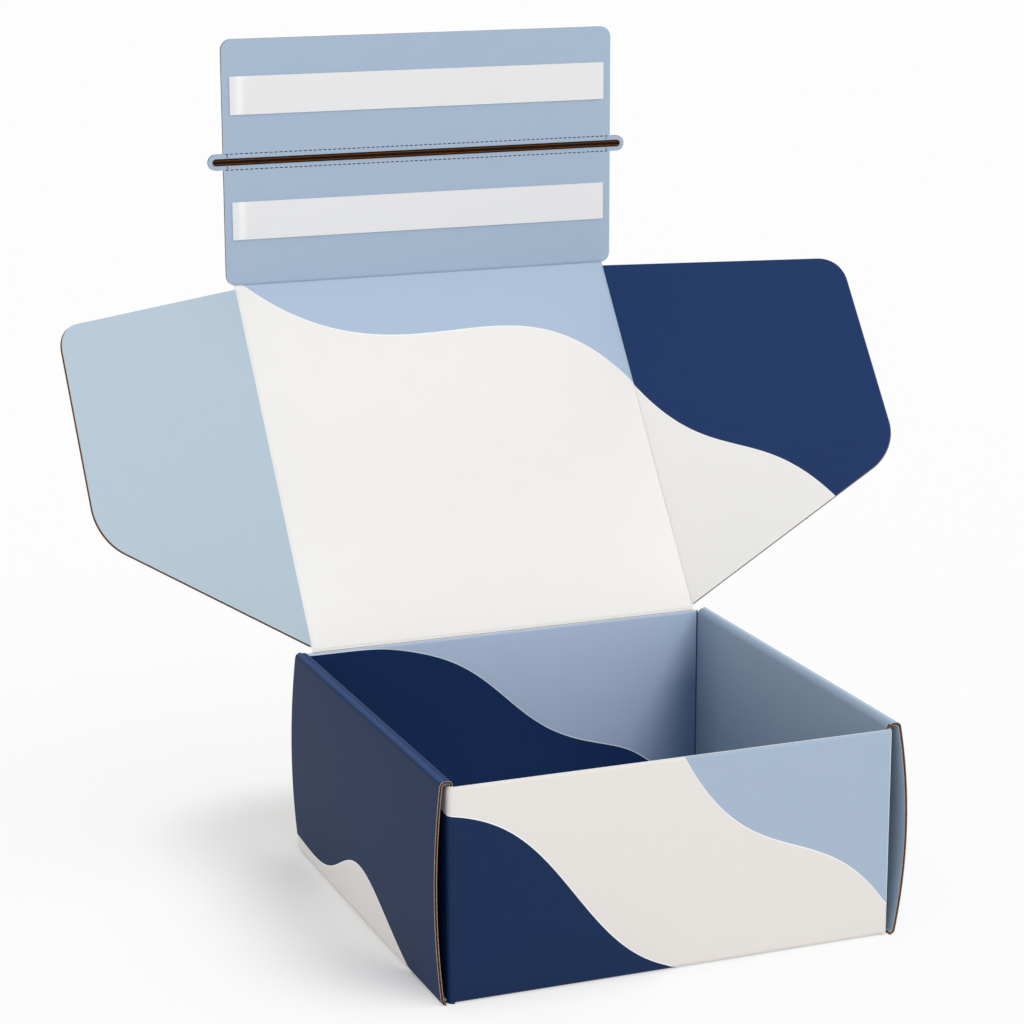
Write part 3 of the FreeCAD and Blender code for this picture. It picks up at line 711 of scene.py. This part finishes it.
def side_field(paint, inks):
    """Outside of the U-shaped sheet: navy left side over a white wave, pale blue right side.

    u runs along the section from the middle of the base, so a height z on the left wall lies at
    u = -(fold start + z + the fold's extra length).  A paler strip of painted highlight runs along
    the left roll, past it the crown and the inner left wall are navy darkened by painted shade, and
    the inner right wall darkens with depth and towards the back, as painted shade.
    """
    sizes = settings()[0]
    start, path = side_path(sizes, sizes.left_lean)
    lift = (np.pi / 2 - 1) * (sizes.fold - sizes.board / 2) - sizes.board / 2
    crest = paint.hump(base=-2.4, slope=0.11, rise=33.1, centre=-2.9, spread=52.1,
                       narrowing=0.08)
    climb = paint.math("MULTIPLY", paint.u, -1.0)
    bend_start, bend_end = path.marks[3:5]
    # Painted highlight: a paler strip from part way round the roll's bend to its end.
    highlight_share = 0.45
    highlight_start = bend_start + highlight_share * (bend_end - bend_start)
    navy = paint.beyond(climb, highlight_start, inks.side_navy, inks.roll_highlight_navy)
    # Past the bend: the roll's crown and the inner left wall, navy darkened by painted shade.
    navy = paint.beyond(climb, bend_end, navy, inks.shade_darkened_navy)
    height = paint.math("SUBTRACT", climb, start + lift)
    left = paint.field(crest, inks.front_white, navy, inks.keyline, height)
    roll_end, _, wall_foot = side_path(sizes, sizes.right_lean)[1].marks[5:8]
    back = -low("tray", 1)
    # Painted shade on the inner right wall: darker with depth and towards the back.
    deepening, deepest, back_shade, back_reach = 0.6, 0.35, 0.2, 45.0 * MM
    depth = paint.climb(paint.u, roll_end, wall_foot, "LINEAR")
    shade = paint.math("MINIMUM", paint.math("MULTIPLY", depth, deepening), deepest)
    near = paint.climb(paint.v, back - back_reach, back)
    shade = paint.math("MULTIPLY_ADD", near, back_shade, shade)
    inner = paint.mix(shade, inks.shade_darkened_blue, inks.corner_shade_blue)
    blue = paint.beyond(paint.u, roll_end, inks.blue, inner)
    return paint.beyond(paint.u, start, left, blue)


def tray_inside_field(paint, inks):
    """Inside of the U-shaped sheet: navy on the left wall, white base, pale blue with painted shade on
    the right.
    """
    sizes = settings()[0]
    start = sizes.half_width + sizes.side_offset - sizes.fold
    colour = paint.beyond(paint.u, -start, inks.navy, inks.white)
    # Right of the base: pale blue darkened by painted shade.
    return paint.beyond(paint.u, start, colour, inks.shade_darkened_blue)


def board_materials(upper, lower, name="tray", crease=None, paper=None, core=None):
    """The four slots of a board piece: upper face, lower face, liner edge and core.

    Where the panel coordinate numbered crease is near zero, the paper runs over the edge.
    """
    inks = settings()[2]
    edge = kraft(f"{name}_liner_edge", inks.liner_edge, 0.8, 0.3, crease, paper)
    flutes = kraft(f"{name}_core", core or inks.core, 0.9, 0.45, crease, paper)
    return [upper, lower, edge, flutes]


def side_path(sizes, lean):
    """Section of one half of the tray's U-shaped sheet along the middle of the board."""
    half = sizes.board / 2
    bend = sizes.fold - half
    face = sizes.half_width + sizes.side_offset
    start = face - sizes.fold
    chord = sizes.roll_height - 2 * sizes.fold * (1 - np.sin(lean))
    bow = chord / (2 * np.sin(lean)) - half
    quarter = np.pi / 2
    crown = sizes.roll_width - 2 * sizes.fold
    foot = sizes.board + sizes.play
    return start, Path((0.0, half), 0.0, [
        (start, 0.0),
        (bend * (quarter - lean), quarter - lean),
        (bow * 2 * lean, 2 * lean),
        (bend * (quarter - lean), quarter - lean),
        (crown, 0.0),
        (bend * quarter, quarter),
        (sizes.roll_height - sizes.fold - foot, 0.0),
    ])


def ribbon_place(left, right):
    """Placement of the U-shaped sheet: u along its section, v along Y, w towards the inside."""

    def place(u, v, w):
        """Point of the section at abs(u), moved by w along its normal, the left mirrored."""
        on_left = u < 0
        x, z, angle = (np.where(on_left, a, b)
                       for a, b in zip(left.at(np.abs(u)), right.at(np.abs(u))))
        x = np.where(on_left, -1, 1) * (x - w * np.sin(angle))
        return np.stack([x, v, z + w * np.cos(angle)], -1)

    return place


def stepped(values, marks):
    """Border function of abs(u) that steps from one value to the next at each mark."""
    return lambda u: np.array(values)[np.searchsorted(marks, np.abs(u), side="right")]


def side_sheet(sizes):
    """The U-shaped sheet: base, bowed walls, rolls, inner walls and their tabs in the slots.

    u is zero at the middle of the base and grows to the right along the section.  Cells over the
    slots are left out, and so are those past the foot of the inner wall, apart from the tabs.
    """
    start, left = side_path(sizes, sizes.left_lean)
    right = side_path(sizes, sizes.right_lean)[1]
    half_depth = -low("tray", 1)
    inner = half_depth - sizes.board - sizes.play
    near = sizes.half_width + sizes.side_offset - sizes.roll_width - sizes.play
    far = near + sizes.board + 2 * sizes.play
    lines = []
    for side, path in ((-1, left), (1, right)):
        crown, bend_start, bend_end = path.marks[4:7]
        lip = bend_start + (bend_end - bend_start) * sizes.lip_turn / (np.pi / 2)
        marks = [at + side_step for at in (start, crown, lip) for side_step in (-HAIR, HAIR)]
        tip = path.length + sizes.board
        lines.append(side * np.concatenate([path.lines(), marks, [near, far, tip]]))
    us = np.unique(np.round(np.concatenate(lines), 8))
    spans = [(end * sizes.tab_spacing / 2 - sizes.tab_length / 2,
              end * sizes.tab_spacing / 2 + sizes.tab_length / 2) for end in (-1, 1)]

    def within(v, play):
        """Whether v lies on a tab, widened by the play."""
        return np.any([(v > a - play) & (v < b + play) for a, b in spans], axis=0)

    def border(u, side):
        """Front border (side -1) or back border (side 1) of the sheet."""
        crown = np.where(u < 0, left.marks[4], right.marks[4])
        lip = np.where(u < 0, left.marks[5], right.marks[5])
        if side < 0:
            lip = lip + (left.marks[6] - left.marks[5]) * sizes.lip_turn / (np.pi / 2)
            crown = lip
        reach = np.abs(u)
        value = np.where(reach < start, half_depth - sizes.fold, half_depth)
        return side * np.where(reach > crown, inner, value)

    def holes(u, v):
        """Slots of the base, and all past the inner wall's foot but the tabs."""
        reach = np.abs(u)
        end = np.where(u < 0, left.length, right.length)
        slot = (reach > near) & (reach < far) & within(v, sizes.play)
        return slot | ((reach > end) & ~within(v, 0.0))

    edges = [edge + sign * play for span in spans for edge, sign in zip(span, (-1, 1))
             for play in (0.0, sizes.play)]
    rows = flat_rows(-half_depth, half_depth, [-inner, inner],
                     [half_depth - sizes.fold, sizes.fold - half_depth], edges)
    return add_board(blank(), us, rows, lambda u: border(u, -1), lambda u: border(u, 1),
                     ribbon_place(left, right), holes=holes, core_holes=holes)


def upright_wall(sizes, turn_sign, wall_top):
    """Front or back wall with its base fold, its two side folds and corner flaps.

    u runs along the plan from the middle and v is the height.  Below the base fold's start the
    sheet follows an arc of the fold's middle radius, and a corner flap ends just over the base.
    The top edge is crushed a little, by the smooth rise of eased.
    """
    half_depth = -low("tray", 1)
    half = sizes.board / 2
    bend = sizes.fold - half
    foot = sizes.board + sizes.play
    middle = half_depth - half
    path = Path((0.0, -turn_sign * middle), 0.0, [
        (sizes.half_width - sizes.fold, 0.0),
        (bend * np.pi / 2, turn_sign * np.pi / 2),
        (sizes.corner_flap - sizes.fold, 0.0),
    ])
    straight = path.marks[1]
    lines = np.concatenate([path.lines(), [straight + HAIR]])
    us = np.unique(np.round(np.concatenate([-lines, lines]), 8))
    bottom = sizes.fold - bend * np.pi / 2
    flap_top = sizes.roll_height - sizes.fold - sizes.play

    def place(u, v, w):
        """Point of the plan at abs(u), at height v or turned under along the base fold."""
        x, y, angle = path.at(np.abs(u))
        turn = np.where(np.abs(u) < straight + HAIR / 2,
                        np.maximum(sizes.fold - v, 0) / bend, 0.0)
        inward = np.abs(bend * (1 - np.cos(turn)))
        lift = np.where(turn > 0, sizes.fold - bend * np.sin(turn), v)
        x = x + w * np.sin(angle) * np.cos(turn)
        y = y + turn_sign * inward - w * np.cos(angle) * np.cos(turn)
        return np.stack([np.sign(u) * x, y, lift - turn_sign * w * np.sin(turn)], -1)

    toe = 0.3 * MM
    rows = np.concatenate([np.linspace(bottom, sizes.fold, 9), [toe, foot, flap_top, wall_top],
                           crease_lines(wall_top, -1, sizes.crease)])

    def gap(u, v):
        """Hairline cut beside the base fold's ends."""
        return (np.abs(np.abs(u) - straight - HAIR / 2) < HAIR / 2) & (v < sizes.fold)

    ends = [straight + HAIR / 2, path.marks[2] - HAIR / 2]
    return add_board(blank(), us, np.unique(np.round(rows, 8)),
                     stepped([bottom, toe, foot], ends),
                     stepped([wall_top, flap_top], ends[:1]), place,
                     lambda u, v: eased(wall_top - v, sizes), gap, gap)


def eased(distance, sizes):
    """Half thickness at a distance from a crease: a smooth rise from crushed to full board."""
    full, flat = sizes.board / 2, sizes.crushed / 2
    near = np.clip(distance / sizes.crease, 0, 1)
    return flat + (full - flat) * near * near * (3 - 2 * near)


class MAILER_OT_tray(bpy.types.Operator):
    """Folded tray: the U-shaped sheet, the front and back walls and their corner flaps"""

    bl_idname = "mailer.tray"
    bl_label = "Tray"

    def execute(self, context):
        sizes = settings()[0]
        inside = printed("tray_inside_print", field=tray_inside_field)
        outside = printed("tray_outside_print", field=side_field)
        sides = make_piece("side_sheet", side_sheet(sizes), board_materials(inside, outside))
        front = make_piece("front_wall", upright_wall(sizes, 1, sizes.front_height),
                           white_backed(printed("front_print", field=front_field)))
        back_top = JOINTS["lid_hinge"]["pos_m"][2] - sizes.crease_room
        back = make_piece("back_wall", upright_wall(sizes, -1, back_top),
                          white_backed(printed("back_print", field=back_field)))
        for piece in (sides, front, back):
            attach(piece, "tray")
        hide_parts("tray")
        return {"FINISHED"}


def white_backed(face):
    """Four slots of a board with a printed face, a plain white back and pale cut edges."""
    inks = settings()[2]
    pale_edge = printed("pale_edge", plain=inks.keyline)
    return [face, printed("plain_white_liner", plain=inks.white), pale_edge, pale_edge]


def lid_length():
    """Distance between the lid's crease and the closing flap's."""
    creases = [np.array(JOINTS[name]["pos_m"]) for name in ("flap_hinge", "lid_hinge")]
    return float(np.linalg.norm(creases[0] - creases[1]))


def lid_axes():
    """Origin and directions of the lid: its crease, across it and up along the panel."""
    crease = np.array(JOINTS["lid_hinge"]["pos_m"])
    along = np.array(JOINTS["left_ear_hinge"]["axis"])
    return crease, np.array([1.0, 0.0, 0.0]), along / np.linalg.norm(along)


def swung(across, normal, angle):
    """Direction across, turned by angle towards normal."""
    return across * np.cos(angle) + normal * np.sin(angle)


class MAILER_OT_lid(bpy.types.Operator):
    """Lid panel between its four creases"""

    bl_idname = "mailer.lid"
    bl_label = "Lid"

    def execute(self, context):
        sizes, panels, _, _ = settings()
        crease, across, along = lid_axes()
        length = lid_length()
        half = panels.lid_half

        def squeeze(u, v):
            """Half thickness: thin along all four creases."""
            side = eased(half - np.abs(u), sizes)
            return np.minimum(side, eased(np.minimum(v, length - v), sizes))

        lap = sizes.crease_lap
        us = np.unique(np.concatenate([
            [-half - lap, half + lap], np.linspace(-half, half, 9),
            crease_lines(-half, 1, sizes.crease), crease_lines(half, -1, sizes.crease)]))
        vs = np.unique(np.concatenate([
            [-lap, length / 2, length + lap], crease_lines(0, 1, sizes.crease),
            crease_lines(length, -1, sizes.crease)]))
        bundle = add_board(blank(), us, vs, constant(-lap), constant(length + lap),
                           panel_place(crease, across, along), squeeze)
        face = printed("lid_print", field=lid_field)
        piece = make_piece("lid_board", bundle, white_backed(face))
        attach(piece, "lid")
        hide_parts("lid_panel")
        return {"FINISHED"}


def ear_borders(panels, lid_length):
    """Lower and upper border of an ear: straight tapers that end in tangent arcs."""
    reach = panels.ear_reach
    head = lid_length - panels.ear_head
    low_slope = (panels.ear_low - panels.ear_foot) / reach
    high_slope = (panels.ear_high - head) / reach

    def border(u, foot, slope, radius, sign):
        """Straight taper, then the arc that touches both it and the far edge."""
        u = np.abs(u)
        secant = np.sqrt(1 + slope * slope)
        centre_u = reach - radius
        centre_v = foot + slope * centre_u + sign * -radius * secant
        tangent = centre_u + sign * -slope * radius / secant
        line = foot + slope * u
        arc = centre_v + sign * np.sqrt(np.maximum(radius**2 - (u - centre_u) ** 2, 0))
        return np.where(u > tangent, arc, line)

    return (lambda u: border(u, panels.ear_foot, low_slope, panels.ear_low_radius, -1),
            lambda u: border(u, head, high_slope, panels.ear_high_radius, 1))


class MAILER_OT_ears(bpy.types.Operator):
    """Two tapered side ears of the lid"""

    bl_idname = "mailer.ears"
    bl_label = "Ears"

    def execute(self, context):
        sizes, panels, inks, _ = settings()
        crease, across, along = lid_axes()
        normal = np.cross(across, along)
        length = lid_length()
        lower, upper = ear_borders(panels, length)
        radius = max(panels.ear_low_radius, panels.ear_high_radius)
        bend = rounded_lines(panels.ear_reach, radius, 26)
        lines = np.unique(np.concatenate([
            [sizes.crease_room], crease_lines(0, 1, sizes.crease),
            np.linspace(10 * MM, panels.ear_reach, 9), bend]))
        lines = lines[lines >= sizes.crease_room]
        vs = np.linspace(0, length, 12)
        faces = {
            "left": printed("ear_blue_liner", plain=inks.ear_blue),
            "right": printed("right_ear_print", field=right_ear_field),
        }
        back = printed("plain_white_liner", plain=inks.white)
        for name, side in (("left", -1), ("right", 1)):
            angle = -np.radians(JOINTS[f"{name}_ear_hinge"]["range_deg"][0])
            foot = crease + side * panels.lid_half * across
            out = swung(across, side * normal, angle)
            bundle = add_board(blank(), np.sort(side * lines), vs, lower, upper,
                               panel_place(foot, out, along),
                               lambda u, v: eased(np.abs(u), sizes))
            materials = board_materials(faces[name], back, f"{name}_ear", 0, inks.keyline)
            piece = make_piece(f"{name}_ear_board", bundle, materials)
            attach(piece, f"{name}_ear")
            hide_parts(f"{name}_ear")
        return {"FINISHED"}


def flap_axes():
    """Origin and directions of the closing flap at rest."""
    _, across, along = lid_axes()
    normal = np.cross(across, along)
    crease = np.array(JOINTS["flap_hinge"]["pos_m"])
    angle = -np.radians(JOINTS["flap_hinge"]["range_deg"][0])
    return crease, across, swung(along, normal, angle)


class MAILER_OT_flap(bpy.types.Operator):
    """Closing flap with its perforated tear band and pull tabs"""

    bl_idname = "mailer.flap"
    bl_label = "Closing flap"

    def execute(self, context):
        sizes, panels, inks, _ = settings()
        crease, across, along = flap_axes()
        length, half, radius = panels.flap_length, panels.flap_half, panels.flap_radius
        middle, band = panels.tear_middle, panels.tear_height

        def rounding(u):
            """Distance of the rounded corner from the panel's straight edge."""
            return radius - round_end(u, half, radius)

        row = band / 2 - panels.cut_inset
        thin = panels.cut_width / 2
        first = panels.cut_pitch - panels.cut_length - half
        starts = first + panels.cut_pitch * np.arange(int(2 * half / panels.cut_pitch))
        nick = (panels.tape_width / 2 + row) / 2
        nick_lines = [side * (half - panels.nick_inset + t * thin) for side in (-1, 1)
                      for t in (-1, 1)]
        cut_rows = [middle + side * (at + t * width) for side in (-1, 1) for t in (-1, 1)
                    for at, width in ((row, thin), (nick, panels.nick_length / 2))]

        def holes(u, v):
            """Two rows of perforations, and a short nick across each end of the band."""
            off = np.abs(v - middle)
            along_row = (u - first) % panels.cut_pitch < panels.cut_length
            within = along_row & (u > first) & (u < starts[-1] + panels.cut_pitch)
            cuts = within & (np.abs(off - row) < thin)
            inset = np.abs(half - np.abs(u) - panels.nick_inset) < thin
            return cuts | (inset & (np.abs(off - nick) < panels.nick_length / 2))

        bend = rounded_lines(half, radius, 12)
        ends = starts + panels.cut_length
        us = np.unique(np.round(np.concatenate(
            [starts, ends, bend, -bend, nick_lines, [-half, half]]), 7))
        room = sizes.crease_room
        vs = flat_rows(room, length, cut_rows, np.linspace(0, radius, 6),
                       length - np.linspace(0, radius, 6),
                       crease_lines(0, 1, sizes.crease), [middle, length * 0.3, length * 0.8])
        place = panel_place(crease, across, along)
        bundle = add_board(blank(), us, vs, lambda u: np.maximum(rounding(u), room),
                           lambda u: length - rounding(u), place,
                           lambda u, v: eased(v, sizes), holes)
        tip = high("closing_flap", 0)
        for side in (-1, 1):
            us = np.sort(side * np.append(rounded_lines(tip, band / 2, 14), half))
            vs = middle + band / 2 * np.linspace(-1, 1, 9)
            add_board(bundle, us, vs, lambda u: middle - round_end(u, tip, band / 2),
                      lambda u: middle + round_end(u, tip, band / 2), place)
        face = printed("flap_blue_liner", plain=inks.lid_blue)
        back = printed("plain_white_liner", plain=inks.white)
        materials = board_materials(face, back, "flap", 1, inks.lid_blue, inks.shaded_core)
        piece = make_piece("closing_flap_board", bundle, materials)
        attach(piece, "closing_flap")
        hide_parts("closing_flap")
        return {"FINISHED"}


def release_paper():
    """Silicone-coated white paper: satin, a faint cloudy tooth, a painted highlight on its raised left
    end.
    """
    paint = PanelPaint("release_paper")
    tooth = paint.noise(paint.place, 900.0, 4.0)
    paper = paint.two_tone(tooth, (0.80, 0.80, 0.81), (0.87, 0.87, 0.875))
    # Painted highlight: a pale band over the bulge near the left end.
    gleam_at, gleam_reach = low("low_release_liner", 0) + 5.5 * MM, 2.2 * MM
    off = paint.math("DIVIDE", paint.math("SUBTRACT", paint.u, gleam_at), gleam_reach)
    painted_gleam = paint.math("MULTIPLY", paint.bell(off), 0.8)
    paint.surface(paint.mix(painted_gleam, paper, (0.97, 0.97, 0.97)), 0.38, 0.45)
    paint.bump(tooth, 0.25, 0.02 * MM)
    return paint.material


def adhesive_film():
    """Clear tacky film with a soft gloss."""
    paint = PanelPaint("adhesive_film")
    cloud = paint.noise(paint.place, 700.0, 2.0)
    paint.surface(paint.two_tone(cloud, (0.60, 0.64, 0.66), (0.70, 0.73, 0.74)), 0.22, 0.5)
    return paint.material


def ribbed_paper(middle):
    """Near-black brown paper with two tan ribs, broken along their length."""
    paint = PanelPaint("ribbed_brown_paper")
    half_rib = 0.42 * MM
    off = paint.math("ABSOLUTE", paint.math("SUBTRACT", paint.v, middle))
    off = paint.math("ABSOLUTE", paint.math("SUBTRACT", off, RIB_OFFSET))
    rib = paint.math("SUBTRACT", 1.0, paint.math("DIVIDE", off, half_rib))
    fibres = paint.noise(paint.place, 1.0, 4.0, (330.0, 2400.0, 1.0))
    broken = paint.math("MULTIPLY_ADD", fibres, 2.0, -0.25)
    broken = paint.math("MULTIPLY", paint.math("MAXIMUM", rib, 0.0), broken)
    paint.surface(paint.mix(broken, (0.011, 0.005, 0.002), (0.2, 0.06, 0.008)), 0.75, 0.08)
    return paint.material


class MAILER_OT_strips(bpy.types.Operator):
    """Adhesive strips and the release liners over them"""

    bl_idname = "mailer.strips"
    bl_label = "Strips"

    def execute(self, context):
        sizes = settings()[0]
        crease, across, along = flap_axes()
        place = panel_place(crease, across, along)
        liner = release_paper()
        film = adhesive_film()
        glue_thick, paper_top = 0.2 * MM, 0.25 * MM
        face = sizes.board / 2 + glue_thick + paper_top
        bulge_at, bulge_reach, bulge_height = 7.5 * MM, 4.2 * MM, 0.42 * MM
        fine_end = 24 * MM
        for name in ("low", "high"):
            node = f"{name}_release_liner"
            left, right = low(node, 0), high(node, 0)
            bottom, top = low(node, 2) - crease[2], high(node, 2) - crease[2]

            def blister(u, v):
                """Paper's height: flat, with a rounded bulge near the left end."""
                across_it = np.exp(-(((u - left - bulge_at) / bulge_reach) ** 2))
                along_it = 1 - ((v - (bottom + top) / 2) / ((top - bottom) / 2)) ** 2
                return face + bulge_height * across_it * np.clip(along_it, 0, 1) ** 0.5

            us = np.unique(np.concatenate([
                np.linspace(left, left + fine_end, 49), np.linspace(left, right, 12)]))
            vs = np.linspace(bottom, top, 15)
            bundle = add_sheet(blank(), us, vs, constant(bottom), constant(top),
                               lambda u, v: blister(u, v) - paper_top * 0.7, blister, place,
                               (0, 0, 0))
            piece = make_piece(f"{name}_liner_paper", bundle, [liner])
            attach(piece, "closing_flap")
            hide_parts(node)
            glue = frame["nodes"][f"{name}_adhesive"]
            glue.data.materials.clear()
            glue.data.materials.append(film)
        return {"FINISHED"}


class MAILER_OT_tear_tape(bpy.types.Operator):
    """Ribbed brown tape along the tear band"""

    bl_idname = "mailer.tear_tape"
    bl_label = "Tear tape"

    def execute(self, context):
        sizes, panels, _, _ = settings()
        crease, across, along = flap_axes()
        tip, middle = high("tear_tape", 0), panels.tear_middle
        radius = (high("tear_tape", 2) - low("tear_tape", 2)) / 2
        board_face = sizes.board / 2
        tape_gap, body_height = 0.02 * MM, 0.34 * MM
        rib_width, rib_height, fray_share = 0.36 * MM, 0.42 * MM, 0.12

        def swell(u):
            """Half width of the tape."""
            return round_end(u, tip, radius)

        def crown(u, v):
            """Tape's height: a flat-topped body, and two ribs that fray a little along u."""
            across_it = np.clip(np.abs(v - middle) / np.maximum(swell(u), 1e-6), 0, 1)
            body = body_height * np.sqrt(np.maximum(1 - across_it**6, 0))
            ribs = sum(np.exp(-(((v - middle - side * RIB_OFFSET) / rib_width) ** 2))
                       for side in (-1, 1))
            fray = 1 + fray_share * np.sin(u * 2311.0) * np.sin(u * 937.0 + 1.3)
            return board_face + tape_gap + body + rib_height * ribs * fray

        ends = rounded_lines(tip, radius, 10)
        us = np.unique(np.concatenate([np.linspace(-tip + radius, tip - radius, 420), ends, -ends]))
        vs = middle + radius * np.sin(np.linspace(-np.pi / 2, np.pi / 2, 31))
        bundle = add_sheet(blank(), us, vs, lambda u: middle - swell(u),
                           lambda u: middle + swell(u), lambda u, v: np.full_like(u, board_face),
                           crown, panel_place(crease, across, along), (0, 0, 0))
        piece = make_piece("tear_tape_cord", bundle, [ribbed_paper(middle)])
        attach(piece, "closing_flap")
        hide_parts("tear_tape")
        return {"FINISHED"}


class MAILER_OT_stage(bpy.types.Operator):
    """Pale floor, soft lamps and the camera"""

    bl_idname = "mailer.stage"
    bl_label = "Stage"

    def execute(self, context):
        stage = settings()[3]
        self.floor(stage)
        self.world(stage)
        self.lamp("key_light", stage.key_strength, stage.key_from, stage)
        self.lamp("fill_light", stage.fill_strength, stage.fill_from, stage)
        self.camera(stage)
        context.scene.view_settings.view_transform = "Standard"
        return {"FINISHED"}

    @staticmethod
    def seen(nodes):
        """One for rays that end in the picture or in a gloss or glass, and zero for others."""
        rays = nodes.add("ShaderNodeLightPath").outputs
        direct = nodes.math("MAXIMUM", rays["Is Camera Ray"], rays["Is Glossy Ray"])
        return nodes.math("MAXIMUM", direct, rays["Is Transmission Ray"])

    @staticmethod
    def page_share(nodes, stage):
        """Share of page white: it climbs with the distance from a zone by the box's foot.

        The distance is the length of max(abs(place - middle) - half, 0).
        """
        value = nodes.add("ShaderNodeTexCoord").outputs["Object"]
        for operation, *other in (("SUBTRACT", stage.foot_middle), ("ABSOLUTE",),
                                  ("SUBTRACT", stage.foot_half), ("MAXIMUM", (0.0, 0.0, 0.0)),
                                  ("LENGTH",)):
            inputs = dict(enumerate((value, *other)))
            node = nodes.add("ShaderNodeVectorMath", inputs, operation=operation)
            value = node.outputs[0]
        climb = nodes.climb(node.outputs["Value"], stage.foot_start, stage.foot_end)
        return nodes.math("MULTIPLY_ADD", climb, stage.floor_glow - stage.foot_glow,
                          stage.foot_glow)

    def floor(self, stage):
        """White floor: as seen, page white is mixed with the lit surface and its shadows."""
        span = 14.0
        corners = [(x * span, y * span, 0) for x, y in ((-1, -1), (1, -1), (1, 1), (-1, 1))]
        mesh = bpy.data.meshes.new("floor")
        mesh.from_pydata(corners, [], [(0, 1, 2, 3)])
        material = bpy.data.materials.new("floor_white")
        material.use_nodes = True
        nodes = Nodes(material.node_tree)
        shader = nodes.tree.nodes["Principled BSDF"]
        nodes.put((*(stage.floor_white,) * 3, 1.0), shader.inputs["Base Color"])
        nodes.put(0.9, shader.inputs["Roughness"])
        nodes.put(0.0, shader.inputs["Specular IOR Level"])
        page = nodes.add("ShaderNodeEmission", {"Strength": stage.page})
        share = nodes.math("MULTIPLY", self.seen(nodes), self.page_share(nodes, stage))
        mix = nodes.add("ShaderNodeMixShader",
                        {"Fac": share, 1: shader.outputs[0], 2: page.outputs[0]})
        nodes.put(mix.outputs[0], nodes.tree.nodes["Material Output"].inputs["Surface"])
        mesh.materials.append(material)
        floor = bpy.data.objects.new("floor", mesh)
        bpy.context.scene.collection.objects.link(floor)

    def world(self, stage):
        """Even white surround, page white where it is seen and softer on the object."""
        world = bpy.data.worlds.new("surround")
        world.use_nodes = True
        nodes = Nodes(world.node_tree)
        background = nodes.tree.nodes["Background"]
        nodes.put((1.0, 1.0, 1.0, 1.0), background.inputs["Color"])
        strength = nodes.math("MULTIPLY_ADD", self.seen(nodes), stage.page - stage.sky,
                              stage.sky)
        nodes.put(strength, background.inputs["Strength"])
        bpy.context.scene.world = world

    @staticmethod
    def lamp(name, strength, source, stage):
        """Wide soft light from far away."""
        data = bpy.data.lights.new(name, "SUN")
        data.energy = strength
        data.angle = stage.key_spread
        lamp = bpy.data.objects.new(name, data)
        lamp.matrix_world = Vector(source).to_track_quat("Z", "Y").to_matrix().to_4x4()
        bpy.context.scene.collection.objects.link(lamp)

    @staticmethod
    def camera(stage):
        """Camera at the photograph's angle: right, up and back vectors from yaw, pitch, roll."""
        yaw, pitch, roll = stage.camera_yaw, stage.camera_pitch, stage.camera_roll
        ahead = Vector((np.sin(yaw) * np.cos(pitch), np.cos(yaw) * np.cos(pitch), -np.sin(pitch)))
        right = Vector((np.cos(yaw), -np.sin(yaw), 0.0))
        up = right.cross(ahead)
        turned_right = right * np.cos(roll) + up * np.sin(roll)
        turned_up = up * np.cos(roll) - right * np.sin(roll)
        data = bpy.data.cameras.new("camera")
        data.sensor_width = 36.0
        data.lens = stage.lens
        camera = bpy.data.objects.new("camera", data)
        turn = Matrix((turned_right, turned_up, -ahead)).transposed()
        camera.matrix_world = Matrix.Translation(stage.camera_place) @ turn.to_4x4()
        bpy.context.scene.collection.objects.link(camera)
        bpy.context.scene.camera = camera


OPERATORS = (MAILER_OT_tray, MAILER_OT_lid, MAILER_OT_ears, MAILER_OT_flap, MAILER_OT_strips,
             MAILER_OT_tear_tape, MAILER_OT_stage)


class MAILER_PT_panel(bpy.types.Panel):
    """Sidebar panel that lists the pieces and their sizes"""

    bl_idname = "MAILER_PT_panel"
    bl_label = "Mailer Box"
    bl_space_type = "VIEW_3D"
    bl_region_type = "UI"
    bl_category = "Mailer Box"

    def draw(self, context):
        for operator in OPERATORS:
            self.layout.operator(operator.bl_idname)
        for group in settings():
            box = self.layout.box()
            for name in group.bl_rna.properties.keys():
                if name not in {"rna_type", "name"}:
                    box.prop(group, name)


GROUPS = {
    "board_sizes": BoardSizes,
    "panel_sizes": PanelSizes,
    "print_colours": PrintColours,
    "stage_settings": StageSettings,
}


def register():
    """Register the groups, operators and panel."""
    for name, group in GROUPS.items():
        bpy.utils.register_class(group)
        setattr(bpy.types.Scene, name, bpy.props.PointerProperty(type=group))
    for operator in (*OPERATORS, MAILER_PT_panel):
        bpy.utils.register_class(operator)


def unregister():
    """Undo register, in the opposite order."""
    for operator in reversed((*OPERATORS, MAILER_PT_panel)):
        bpy.utils.unregister_class(operator)
    for name, group in reversed(GROUPS.items()):
        delattr(bpy.types.Scene, name)
        bpy.utils.unregister_class(group)


def main():
    register()
    for operator in OPERATORS:
        action = operator.bl_idname.split(".")[1]
        getattr(bpy.ops.mailer, action)()


if __name__ == "__main__":
    main()
